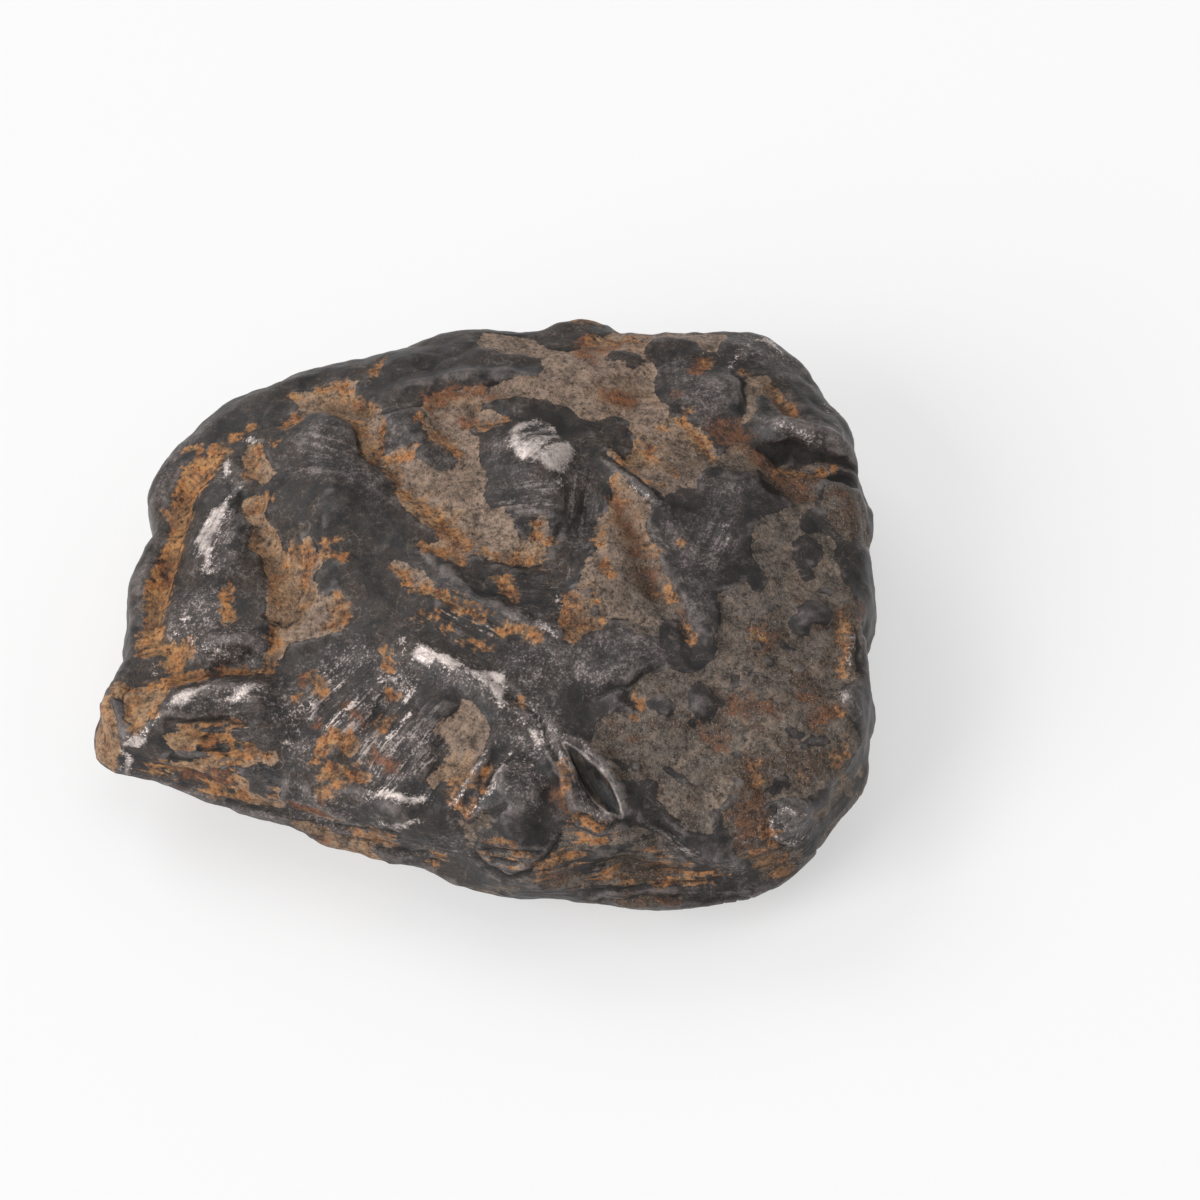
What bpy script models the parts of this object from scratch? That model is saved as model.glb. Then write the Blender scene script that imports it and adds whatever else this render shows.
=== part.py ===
"""Iron meteorite: one flattened, torn mass of nickel-iron, in one piece.

X runs to the right, Y to the back and Z up, with the origin under the middle of the piece on
the surface it rests on. The tables are in millimetres and become metres once, at the end.
"""

import math

import bmesh
import bpy
import numpy as np
from mathutils import Vector, noise

NAME = "meteorite"
METRE = 0.001

# Driving sizes, mm
TOP = 14.4
KEEL = -0.55
SHOULDER = 4.2
BELLY = 2.3
NOTCH_DEPTH = 5
CALM_ARC = 0.35
EVEN_GRID = 0.5
SPHERE_CUTS = 6
MOST_TRIANGLES = 9500
SWAY = 0.42
SWAY_SPAN = 5.5
LEDGE_EDGE = 0.9

# The widest line of the piece, anticlockwise from the left tip: x, y and height.
RIM = (
    (-27.7, -11.8, 7.0),
    (-26.9, -14.7, 6.5),
    (-24.9, -15.2, 6.5),
    (-20.4, -16.6, 6.3),
    (-15.4, -18.6, 6.0),
    (-10.4, -20.2, 5.5),
    (-5.4, -21.8, 5.0),
    (-0.4, -23.4, 5.0),
    (3.6, -23.9, 4.6),
    (8.6, -24.4, 4.0),
    (13.6, -24.4, 3.8),
    (18.6, -23.6, 4.0),
    (22.0, -22.1, 5.0),
    (23.4, -20.4, 5.3),
    (24.8, -18.6, 6.0),
    (26.3, -16.4, 6.5),
    (27.1, -13.5, 7.0),
    (27.1, -9.7, 7.0),
    (26.4, -6.6, 7.0),
    (27.4, -4.0, 7.0),
    (27.8, -0.8, 7.0),
    (27.3, 1.8, 7.5),
    (26.9, 4.0, 7.5),
    (27.2, 6.6, 7.5),
    (26.9, 9.3, 8.0),
    (26.0, 13.3, 8.0),
    (25.0, 15.8, 8.0),
    (23.8, 18.0, 8.0),
    (22.2, 20.2, 8.0),
    (20.0, 21.6, 8.0),
    (14.0, 21.6, 8.0),
    (9.2, 21.4, 8.0),
    (8.4, 22.7, 8.0),
    (5.0, 22.8, 8.0),
    (4.2, 21.4, 8.0),
    (-0.4, 21.1, 8.0),
    (-2.4, 21.3, 8.0),
    (-4.9, 20.2, 8.0),
    (-10.4, 18.7, 8.0),
    (-15.4, 16.8, 8.0),
    (-19.9, 15.0, 8.0),
    (-23.1, 12.3, 7.8),
    (-24.4, 9.6, 7.5),
    (-24.8, 6.8, 7.5),
    (-23.8, 3.8, 7.5),
    (-24.9, 2.2, 7.3),
    (-25.9, -0.9, 7.2),
    (-26.0, -3.8, 7.0),
    (-26.0, -7.0, 7.0),
    (-26.8, -9.2, 7.0),
)

# Broad rises and falls of the top and of the underside: x, y, reach and height added.
TOP_SWELLS = (
    (-2.0, 6.0, 13.0, 1.8),
    (-25.0, -2.0, 9.0, -2.4),
    (-14.0, -18.0, 9.0, -3.2),
    (14.0, -22.0, 6.0, -1.6),
)
KEEL_SWELLS = (
    (-27.0, -6.0, 12.0, 4.5),
    (2.0, 22.0, 9.0, 2.5),
    (26.0, 8.0, 9.0, 2.0),
)

# Ridges and, where the height is below zero, grooves of the top: height, half width, line.
CRESTS = (
    (-1.0, 1.7, ((-19.0, 8.8), (-21.9, 6.0), (-22.6, 1.0), (-23.7, -3.0), (-23.6, -7.6))),
    (-0.7, 1.7, ((-16.8, 4.0), (-16.0, 0.0), (-13.4, -4.5), (-14.9, -9.0))),
    (-1.1, 1.6, ((-24.0, -9.6), (-20.4, -9.6), (-17.0, -9.4), (-13.5, -9.8))),
    (1.5, 2.3, ((-24.6, -13.6), (-21.0, -12.3), (-17.0, -11.7), (-12.5, -12.0))),
    (0.8, 1.5, ((-20.2, -7.6), (-17.5, -8.0), (-15.0, -8.2))),
    (-0.8, 1.6, ((-14.0, 13.2), (-9.2, 11.2), (-8.2, 6.4), (-5.4, 3.6), (-2.6, 0.2), (2.6, -2.2))),
    (0.8, 1.4, ((-8.0, 12.0), (-3.5, 13.2), (1.5, 13.6), (5.0, 12.8))),
    (0.8, 1.4, ((-6.0, -1.0), (-1.5, -5.6), (2.6, -8.4), (5.0, -9.8))),
    (1.0, 1.7, ((-6.2, -9.6), (-3.4, -11.0), (-0.2, -12.8), (1.6, -15.6))),
    (0.9, 1.2, ((1.0, -16.8), (-0.8, -19.8), (-2.4, -21.4))),
    (0.9, 1.2, ((2.2, -17.6), (1.0, -20.4), (-0.9, -22.0))),
    (0.9, 1.3, ((4.2, -17.0), (5.3, -19.8), (6.6, -22.0), (9.2, -22.6))),
    (0.9, 1.3, ((5.0, -16.8), (7.6, -18.2), (9.2, -20.6), (9.4, -22.4))),
    (0.7, 1.3, ((-9.0, -19.6), (-6.4, -20.5), (-3.6, -20.8))),
    (0.9, 1.4, ((7.8, 7.8), (9.6, 4.3), (13.2, 1.2))),
    (-0.9, 1.4, ((9.2, 3.0), (10.6, -1.0), (11.3, -4.4), (14.2, -9.4))),
    (1.0, 1.4, ((18.9, 14.8), (18.8, 10.4), (21.0, 9.7), (26.2, 8.6))),
    (-0.7, 1.3, ((20.4, 14.4), (21.4, 12.4), (23.0, 10.4))),
    (-1.5, 1.6, ((18.8, 7.6), (21.6, 7.2), (25.4, 7.0))),
    (0.8, 1.4, ((25.0, -3.0), (25.7, -7.0), (25.4, -11.6), (24.6, -15.6))),
    (-0.8, 1.6, ((22.4, -19.0), (19.0, -20.6), (17.0, -22.4))),
)

# Mounds and, where the height is below zero, hollows of the top:
# height, x, y, half length, half width and turn in degrees.
MOUNDS = (
    (1.3, -18.8, -1.6, 6.4, 3.6, 85.0),
    (1.0, -11.2, 2.2, 5.6, 4.6, 100.0),
    (0.7, -13.4, 8.0, 4.4, 2.6, 10.0),
    (0.7, -5.4, 8.4, 3.8, 2.4, -60.0),
    (0.9, -10.0, -4.0, 3.6, 3.0, -30.0),
    (1.2, 3.2, 5.6, 4.6, 3.4, -60.0),
    (-0.9, 7.0, 1.0, 5.0, 1.8, 75.0),
    (-1.0, 7.3, -20.0, 2.8, 1.4, -62.0),
    (1.2, 2.4, -21.0, 3.0, 2.2, 80.0),
    (0.6, 9.8, -11.2, 4.4, 2.8, 10.0),
    (0.6, 17.6, 4.0, 4.2, 2.4, 0.0),
    (-0.8, 21.6, 5.0, 3.6, 2.0, -20.0),
    (0.6, 22.6, -6.6, 2.2, 1.8, 60.0),
    (0.6, 15.0, -14.2, 1.7, 1.4, 80.0),
    (0.9, 21.2, -21.2, 1.9, 1.4, 20.0),
    (0.7, -26.0, -12.0, 2.4, 1.8, 80.0),
    (0.7, 25.6, 3.4, 3.0, 1.6, 80.0),
    (-0.6, 11.6, 14.0, 5.0, 3.0, 60.0),
)

# Ledges of the top, raised on the left of the line's way: height, reach and line.
LEDGES = (
    (0.7, 4.0, ((4.6, -1.6), (5.3, 1.2), (4.9, 4.2), (6.2, 6.8), (5.2, 9.6))),
    (0.8, 3.0, ((-22.9, -2.4), (-22.4, -6.0), (-20.0, -7.8), (-14.6, -8.8))),
    (0.9, 3.0, ((-24.6, -14.3), (-21.0, -14.3), (-17.0, -14.1), (-13.4, -13.6))),
    (1.2, 3.4, ((18.4, 9.0), (21.5, 8.7), (24.0, 8.2), (27.5, 8.0))),
    (0.6, 3.0, ((18.2, 10.4), (18.3, 14.6), (16.6, 16.6))),
    (0.5, 3.5, ((-9.3, 5.4), (-9.6, 8.4), (-11.8, 10.8), (-14.6, 10.2))),
    (0.5, 4.0, ((8.6, 1.6), (7.6, -2.0), (6.2, -5.6), (5.0, -8.4))),
    (0.5, 4.0, ((16.2, -11.2), (16.0, -6.4), (18.6, -5.0), (19.8, -7.0))),
    (0.6, 3.0, ((-3.4, -20.4), (-3.8, -17.6), (-3.2, -15.6), (-1.2, -13.8))),
    (0.5, 3.0, ((-16.0, -17.6), (-13.8, -14.8), (-11.4, -12.4), (-10.0, -9.8))),
    (0.5, 3.0, ((-11.4, -18.6), (-9.0, -15.6), (-6.8, -12.8), (-5.6, -10.8))),
)

# The same kind of ridges and grooves along the front wall, with lines of x and height.
LAYERS = (
    (-0.9, 1.5, ((6.4, 8.6), (9.0, 7.4), (13.0, 6.6), (18.0, 6.8))),
    (0.7, 1.3, ((6.4, 5.6), (10.0, 4.6), (15.0, 4.2), (20.0, 4.6))),
    (-0.6, 1.2, ((-20.0, 7.2), (-12.0, 6.8), (-6.0, 6.0), (-1.0, 5.4))),
    (0.6, 1.3, ((-22.0, 9.4), (-15.0, 9.8), (-9.0, 10.2), (-3.0, 10.4))),
)

# Forms of the walls and of the underside, each a ball that raises or sinks what it holds:
# height, x, y, z and radius.
BOSSES = (
    (1.2, 2.8, -24.0, 7.5, 4.2),
    (-0.5, -5.0, -21.0, 1.5, 4.5),
    (-0.5, -14.0, -18.0, 2.0, 4.5),
    (-0.9, -22.0, 11.0, 8.0, 5.0),
    (0.8, -14.0, 17.0, 9.0, 4.0),
    (-1.0, -6.0, 19.0, 6.0, 5.0),
    (0.8, 2.0, 21.0, 6.0, 4.0),
    (-1.1, 11.0, 22.0, 7.0, 5.0),
    (0.9, 18.0, 21.5, 6.0, 4.5),
    (-0.9, 25.0, 14.0, 7.0, 5.0),
    (0.8, 27.0, 6.0, 6.0, 4.0),
    (-0.9, 27.0, -7.0, 6.0, 3.6),
    (-1.0, 20.0, -16.0, 1.5, 5.5),
    (-1.2, -14.0, -8.0, 1.5, 6.5),
    (-1.1, -17.0, 5.0, 1.5, 6.0),
    (-1.2, -3.0, 14.0, 1.0, 6.5),
    (-1.1, 13.0, 13.0, 1.0, 6.0),
    (-1.1, 20.0, 2.0, 1.0, 6.0),
)


def smooth_ring(azimuth):
    """Plan radius and height at these azimuths on the closed curve through RIM."""
    azimuth = (azimuth + math.pi) % (2 * math.pi) - math.pi
    ring = np.array(RIM)
    angle = np.arctan2(ring[:, 1], ring[:, 0])
    order = np.argsort(angle)
    angle = angle[order]
    values = np.stack([np.hypot(ring[:, 0], ring[:, 1]), ring[:, 2]], axis=1)[order]
    turn = 2 * math.pi
    angle = np.concatenate([angle[-2:] - turn, angle, angle[:2] + turn])
    values = np.concatenate([values[-2:], values, values[:2]])
    slope = (values[2:] - values[:-2]) / (angle[2:] - angle[:-2])[:, None]
    slope = np.concatenate([slope[:1], slope, slope[-1:]])
    here = np.clip(np.searchsorted(angle, azimuth) - 1, 0, len(angle) - 2)
    span = (angle[here + 1] - angle[here])[:, None]
    t = (azimuth - angle[here])[:, None] / span
    return (
        (1 + 2 * t) * (1 - t) ** 2 * values[here]
        + t * (1 - t) ** 2 * span * slope[here]
        + t * t * (3 - 2 * t) * values[here + 1]
        + t * t * (t - 1) * span * slope[here + 1]
    )


def swell(base, swells, x, y):
    """A level with soft rises and falls added to it."""
    level = np.full_like(x, base)
    for at_x, at_y, reach, rise in swells:
        level += rise * np.exp(-((x - at_x) ** 2 + (y - at_y) ** 2) / (2 * reach**2))
    return level


def slab_points(unit):
    """Turns points of a unit sphere into points of the slab.

    The notches of the rim fade towards the middle, where a calmer ring takes over.
    """
    azimuth = np.arctan2(unit[:, 1], unit[:, 0])
    share = np.sqrt(np.clip(1 - np.abs(unit[:, 2]), 0, 1))
    turns = np.linspace(-CALM_ARC, CALM_ARC, 9)
    calm = np.mean([smooth_ring(azimuth + turn) for turn in turns], axis=0)
    ring = calm + (smooth_ring(azimuth) - calm) * (share**NOTCH_DEPTH)[:, None]
    x = share * ring[:, 0] * np.cos(azimuth)
    y = share * ring[:, 0] * np.sin(azimuth)
    rim = ring[:, 1]
    over = (1 - share**SHOULDER) ** (1 / SHOULDER)
    under = (1 - share**BELLY) ** (1 / BELLY)
    top = rim + (swell(TOP, TOP_SWELLS, x, y) - rim) * over
    keel = rim + (swell(KEEL, KEEL_SWELLS, x, y) - rim) * under
    return np.stack([x, y, np.where(unit[:, 2] >= 0, top, keel)], axis=1)


def bump(ratio):
    """1 in the middle of a form, falling softly to 0 at its edge."""
    return np.clip(1 - ratio**2, 0, 1) ** 2


def along_line(x, y, line):
    """Each point's distance from a line, its way along it, the line's length and its side.

    The side is 1 on the left of the line's way and -1 on the right.
    """
    ends = np.array(line)
    spans = ends[1:] - ends[:-1]
    lengths = np.hypot(spans[:, 0], spans[:, 1])
    before = np.concatenate([[0.0], np.cumsum(lengths)])
    nearest = np.full_like(x, np.inf)
    along = np.zeros_like(x)
    side = np.ones_like(x)
    for start, span, length, so_far in zip(ends, spans, lengths, before):
        from_x = x - start[0]
        from_y = y - start[1]
        t = np.clip((from_x * span[0] + from_y * span[1]) / length**2, 0, 1)
        away = np.hypot(from_x - t * span[0], from_y - t * span[1])
        closer = away < nearest
        nearest = np.where(closer, away, nearest)
        along = np.where(closer, so_far + t * length, along)
        side = np.where(closer, np.sign(span[0] * from_y - span[1] * from_x), side)
    return nearest, along, before[-1], side


def fade_at_ends(along, length, reach):
    """1 along the middle of a line, falling to 0 at both ends."""
    share = np.clip(np.minimum(along, length - along) / reach, 0, 1)
    return share * share * (3 - 2 * share)


def crest_lift(x, y, height, half_width, line):
    """How far a ridge along a line raises each point, sharpest on the line itself."""
    away, along, length, _ = along_line(x, y, line)
    profile = np.clip(1 - away / half_width, 0, 1) ** 1.5
    return height * (0.2 + 0.8 * fade_at_ends(along, length, 2.5 * half_width)) * profile


def ledge_lift(x, y, height, reach, line):
    """How far a ledge raises each point: steep at its line, then falling off over its reach."""
    away, along, length, side = along_line(x, y, line)
    out = side * away
    step = np.clip(out / LEDGE_EDGE + 0.5, 0, 1)
    profile = step * np.exp(-((np.maximum(out, 0) / reach) ** 2))
    return height * fade_at_ends(along, length, reach) * profile


def mound_lift(x, y, height, at_x, at_y, half_length, half_width, turn):
    """How far an oval mound raises each point."""
    angle = math.radians(turn)
    u = (x - at_x) * math.cos(angle) + (y - at_y) * math.sin(angle)
    v = (y - at_y) * math.cos(angle) - (x - at_x) * math.sin(angle)
    return height * bump(np.hypot(u / half_length, v / half_width))


def sway(points):
    """A restless rise and fall over the whole surface, the same on every run."""
    waves = [noise.fractal(point / SWAY_SPAN, 0.9, 2.0, 2) for point in map(Vector, points)]
    return SWAY * np.array(waves)


def sculpt(points, normals):
    """The slab's points moved out or in by every ridge, ledge, mound, layer and boss."""
    x, y, z = points.T
    facing_up = np.clip((normals[:, 2] - 0.05) / 0.35, 0, 1)
    facing_front = np.clip((-normals[:, 1] - 0.25) / 0.35, 0, 1)
    lift = np.zeros_like(x)
    for crest in CRESTS:
        lift += crest_lift(x, y, *crest) * facing_up
    for ledge in LEDGES:
        lift += ledge_lift(x, y, *ledge) * facing_up
    for mound in MOUNDS:
        lift += mound_lift(x, y, *mound) * facing_up
    for layer in LAYERS:
        lift += crest_lift(x, z, *layer) * facing_front
    for height, at_x, at_y, at_z, radius in BOSSES:
        away = np.sqrt((x - at_x) ** 2 + (y - at_y) ** 2 + (z - at_z) ** 2)
        lift += height * bump(away / radius)
    lift += sway(points)
    return points + normals * lift[:, None]


def read(collection, field, count):
    """One three-number field of a mesh's vertices as an array."""
    values = np.empty(count * 3, np.float32)
    collection.foreach_get(field, values)
    return values.reshape(-1, 3).astype(float)


def write_points(mesh, points):
    """Puts the mesh's vertices at these points."""
    mesh.vertices.foreach_set("co", points.ravel())
    mesh.update()


def evaluated_mesh(obj):
    """The object's mesh with its modifiers applied."""
    graph = bpy.context.evaluated_depsgraph_get()
    return bpy.data.meshes.new_from_object(obj.evaluated_get(graph))


def take_mesh(obj, mesh):
    """Gives the object a finished mesh in place of the old one and its modifiers."""
    old = obj.data
    obj.modifiers.clear()
    obj.data = mesh
    mesh.name = obj.name
    bpy.data.meshes.remove(old)


def clear_scene():
    """Removes what a new file holds."""
    for obj in list(bpy.data.objects):
        bpy.data.objects.remove(obj)


def add_collection(name):
    """A new collection in the scene."""
    collection = bpy.data.collections.new(name)
    bpy.context.scene.collection.children.link(collection)
    return collection


def make_slab(collection):
    """The plain slab, in millimetres, with faces of one even size."""
    bm = bmesh.new()
    bmesh.ops.create_icosphere(bm, subdivisions=SPHERE_CUTS, radius=1.0)
    mesh = bpy.data.meshes.new(NAME)
    bm.to_mesh(mesh)
    bm.free()
    write_points(mesh, slab_points(read(mesh.vertices, "co", len(mesh.vertices))))
    slab = bpy.data.objects.new(NAME, mesh)
    collection.objects.link(slab)
    even = slab.modifiers.new("even", "REMESH")
    even.mode = "VOXEL"
    even.voxel_size = EVEN_GRID
    take_mesh(slab, evaluated_mesh(slab))
    return slab


def carve(slab):
    """Raises and sinks the main forms, and sets the piece at its real size in metres."""
    mesh = slab.data
    count = len(mesh.vertices)
    points = read(mesh.vertices, "co", count)
    normals = read(mesh.vertex_normals, "vector", count)
    write_points(mesh, sculpt(points, normals) * METRE)
    thin = slab.modifiers.new("thin", "DECIMATE")
    thin.ratio = MOST_TRIANGLES / (2 * len(mesh.polygons))
    take_mesh(slab, evaluated_mesh(slab))


def centre(slab):
    """Puts the middle of the piece over the origin."""
    points = read(slab.data.vertices, "co", len(slab.data.vertices))
    middle = (points.min(axis=0) + points.max(axis=0)) / 2
    middle[2] = 0.0
    write_points(slab.data, points - middle)


def cut_foot(slab, collection):
    """Cuts the small flat spot that the piece rests on."""
    bm = bmesh.new()
    bmesh.ops.create_cube(bm, size=80 * METRE)
    bmesh.ops.translate(bm, verts=bm.verts, vec=(0, 0, -40 * METRE))
    mesh = bpy.data.meshes.new("foot_cutter")
    bm.to_mesh(mesh)
    bm.free()
    cutter = bpy.data.objects.new("foot_cutter", mesh)
    cutter.hide_render = True
    cutter.display_type = "WIRE"
    collection.objects.link(cutter)
    cut = slab.modifiers.new("foot", "BOOLEAN")
    cut.operation = "DIFFERENCE"
    cut.solver = "EXACT"
    cut.object = cutter


def dress(slab):
    """Dark oxidised iron, half metal and half crust."""
    iron = bpy.data.materials.new("iron")
    iron.use_nodes = True
    shader = iron.node_tree.nodes["Principled BSDF"]
    shader.inputs["Base Color"].default_value = (0.085, 0.075, 0.066, 1.0)
    shader.inputs["Roughness"].default_value = 0.5
    shader.inputs["Metallic"].default_value = 0.6
    slab.data.materials.append(iron)


def main():
    """Builds the meteorite."""
    clear_scene()
    body = add_collection(NAME)
    cutters = add_collection("cutters")
    slab = make_slab(body)
    carve(slab)
    centre(slab)
    cut_foot(slab, cutters)
    dress(slab)


main()
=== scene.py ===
"""Iron meteorite: the finished surface of one flattened, torn mass of nickel-iron.

The surface takes the place of the plain solid. It follows that solid, and adds what the solid
leaves out: plates of dark patina a little proud of the crust, ridges worn to bare metal that is
partly a painted highlight, striations, creases darkened with painted shade, and pits. The marks
are drawn flat, in millimetres, in the solid's own drawing, and PLAN_SHIFT takes them to where
the solid stands.
"""

from __future__ import annotations

import logging
import math
from dataclasses import dataclass
from enum import Enum
from typing import Any, Callable, Union

import bpy
import numpy as np
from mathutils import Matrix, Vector, noise


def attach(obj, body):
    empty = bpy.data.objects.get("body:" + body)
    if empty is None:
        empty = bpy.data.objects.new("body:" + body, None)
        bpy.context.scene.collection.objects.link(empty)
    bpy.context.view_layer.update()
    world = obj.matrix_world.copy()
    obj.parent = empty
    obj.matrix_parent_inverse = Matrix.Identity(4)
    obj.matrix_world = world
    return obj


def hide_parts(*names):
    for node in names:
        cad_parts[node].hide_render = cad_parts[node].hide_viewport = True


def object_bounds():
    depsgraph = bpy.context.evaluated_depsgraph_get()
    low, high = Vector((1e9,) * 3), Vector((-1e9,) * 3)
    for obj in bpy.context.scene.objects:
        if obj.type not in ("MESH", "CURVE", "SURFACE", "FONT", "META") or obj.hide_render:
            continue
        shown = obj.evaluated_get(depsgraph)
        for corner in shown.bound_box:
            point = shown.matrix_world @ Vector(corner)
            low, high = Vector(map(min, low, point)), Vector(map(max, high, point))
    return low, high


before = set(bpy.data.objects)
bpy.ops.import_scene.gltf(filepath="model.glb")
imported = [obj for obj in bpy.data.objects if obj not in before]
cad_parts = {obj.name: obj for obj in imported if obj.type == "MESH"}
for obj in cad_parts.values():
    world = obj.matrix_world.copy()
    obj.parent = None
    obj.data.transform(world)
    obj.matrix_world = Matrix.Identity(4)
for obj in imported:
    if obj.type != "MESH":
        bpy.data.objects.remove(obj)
solid_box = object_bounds()

log = logging.getLogger("meteorite")

# A millimetre in metres, and where the drawing of the marks lies on the solid, in millimetres.
MM = 0.001
PLAN_SHIFT = (-0.028, 0.982)

# Farther than any mark, how far from its edge a mark is followed, and how much wider than drawn
# the dark islands in the crust are, all in millimetres.
FAR = 1000.0
REACH = 3.0
ISLAND_GROWTH = 0.05

# Shares of the way to its neighbours' mean that a point goes in, and back out again.
STEP_IN = 0.5
STEP_OUT = 0.52

Array = np.ndarray
Colour = tuple[float, float, float]
Line = tuple[tuple[float, float, float], ...]
Oval = tuple[float, float, float, float, float]
Spot = tuple[float, float]
Outline = tuple[Spot, ...]
Span = tuple[float, float]


class Mark(Enum):
    """What a mark says of the surface under it."""

    CRUST = "crust"
    RUST = "rust"
    EMBER = "ember"
    METAL = "metal"
    FROST_AND_SHEEN = "frost_and_sheen"
    CREASE = "crease"
    STAIN = "stain"


def beside(u: Array, v: Array, start: Spot, end: Spot) -> tuple[Array, Array]:
    """Where each point lies beside a straight stretch.

    Args:
        u: the points' first coordinates.
        v: their second coordinates.
        start: where the stretch starts.
        end: where it ends.

    Returns:
        How far along the stretch each point lies, from 0 to 1, and its distance from it.
    """
    du, dv = end[0] - start[0], end[1] - start[1]
    t = np.clip(((u - start[0]) * du + (v - start[1]) * dv) / (du * du + dv * dv), 0, 1)
    return t, np.hypot(u - start[0] - t * du, v - start[1] - t * dv)


def line_cover(u: Array, v: Array, line: Line) -> Array:
    """How far inside a line of some width each point lies.

    Args:
        u: the points' first coordinates.
        v: their second coordinates.
        line: the line's points, each with its half width.

    Returns:
        Millimetres from the line's edge, below zero outside it.
    """
    if len(line) == 1:
        at_u, at_v, half = line[0]
        return half - np.hypot(u - at_u, v - at_v)
    cover = np.full_like(u, -FAR)
    for start, end in zip(line, line[1:]):
        t, away = beside(u, v, start[:2], end[:2])
        cover = np.maximum(cover, start[2] + (end[2] - start[2]) * t - away)
    return cover


def oval_cover(u: Array, v: Array, oval: Oval) -> Array:
    """How far inside an oval each point lies.

    Args:
        u: the points' first coordinates.
        v: their second coordinates.
        oval: its middle, two half sizes and turn in degrees.

    Returns:
        About how many millimetres from its edge, below zero outside it.
    """
    at_u, at_v, half_u, half_v, turn = oval
    cos, sin = math.cos(math.radians(turn)), math.sin(math.radians(turn))
    along = ((u - at_u) * cos + (v - at_v) * sin) / half_u
    across = ((v - at_v) * cos - (u - at_u) * sin) / half_v
    return (1 - np.hypot(along, across)) * min(half_u, half_v)


def outline_cover(u: Array, v: Array, outline: Outline) -> Array:
    """How far inside a closed outline each point lies.

    Args:
        u: the points' first coordinates.
        v: their second coordinates.
        outline: its corners in order.

    Returns:
        Millimetres from its edge, below zero outside it.
    """
    away = np.full_like(u, FAR)
    inside = np.zeros(u.shape, bool)
    for (u0, v0), (u1, v1) in zip(outline, outline[1:] + outline[:1]):
        away = np.minimum(away, beside(u, v, (u0, v0), (u1, v1))[1])
        if v0 != v1:
            inside ^= ((v0 > v) != (v1 > v)) & (u < u0 + (v - v0) * (u1 - u0) / (v1 - v0))
    return np.where(inside, away, -away)


@dataclass(frozen=True)
class Marks:
    """Marks of one kind drawn on one flat face, less what they spare."""

    lines: tuple[Line, ...] = ()
    ovals: tuple[Oval, ...] = ()
    outlines: tuple[Outline, ...] = ()
    spared_ovals: tuple[Oval, ...] = ()
    spared_outlines: tuple[Outline, ...] = ()

    def cover(self, u: Array, v: Array) -> Array:
        """How far inside the marks each point lies.

        Args:
            u: the points' first coordinates.
            v: their second coordinates.

        Returns:
            Millimetres from the marks' edge, below zero outside them.
        """
        cover = np.full_like(u, -FAR)
        for line in self.lines:
            cover = np.maximum(cover, line_cover(u, v, line))
        for oval in self.ovals:
            cover = np.maximum(cover, oval_cover(u, v, oval))
        for outline in self.outlines:
            cover = np.maximum(cover, outline_cover(u, v, outline))
        for oval in self.spared_ovals:
            cover = np.minimum(cover, -oval_cover(u, v, oval) - ISLAND_GROWTH)
        for outline in self.spared_outlines:
            cover = np.minimum(cover, -outline_cover(u, v, outline))
        return cover


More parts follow.
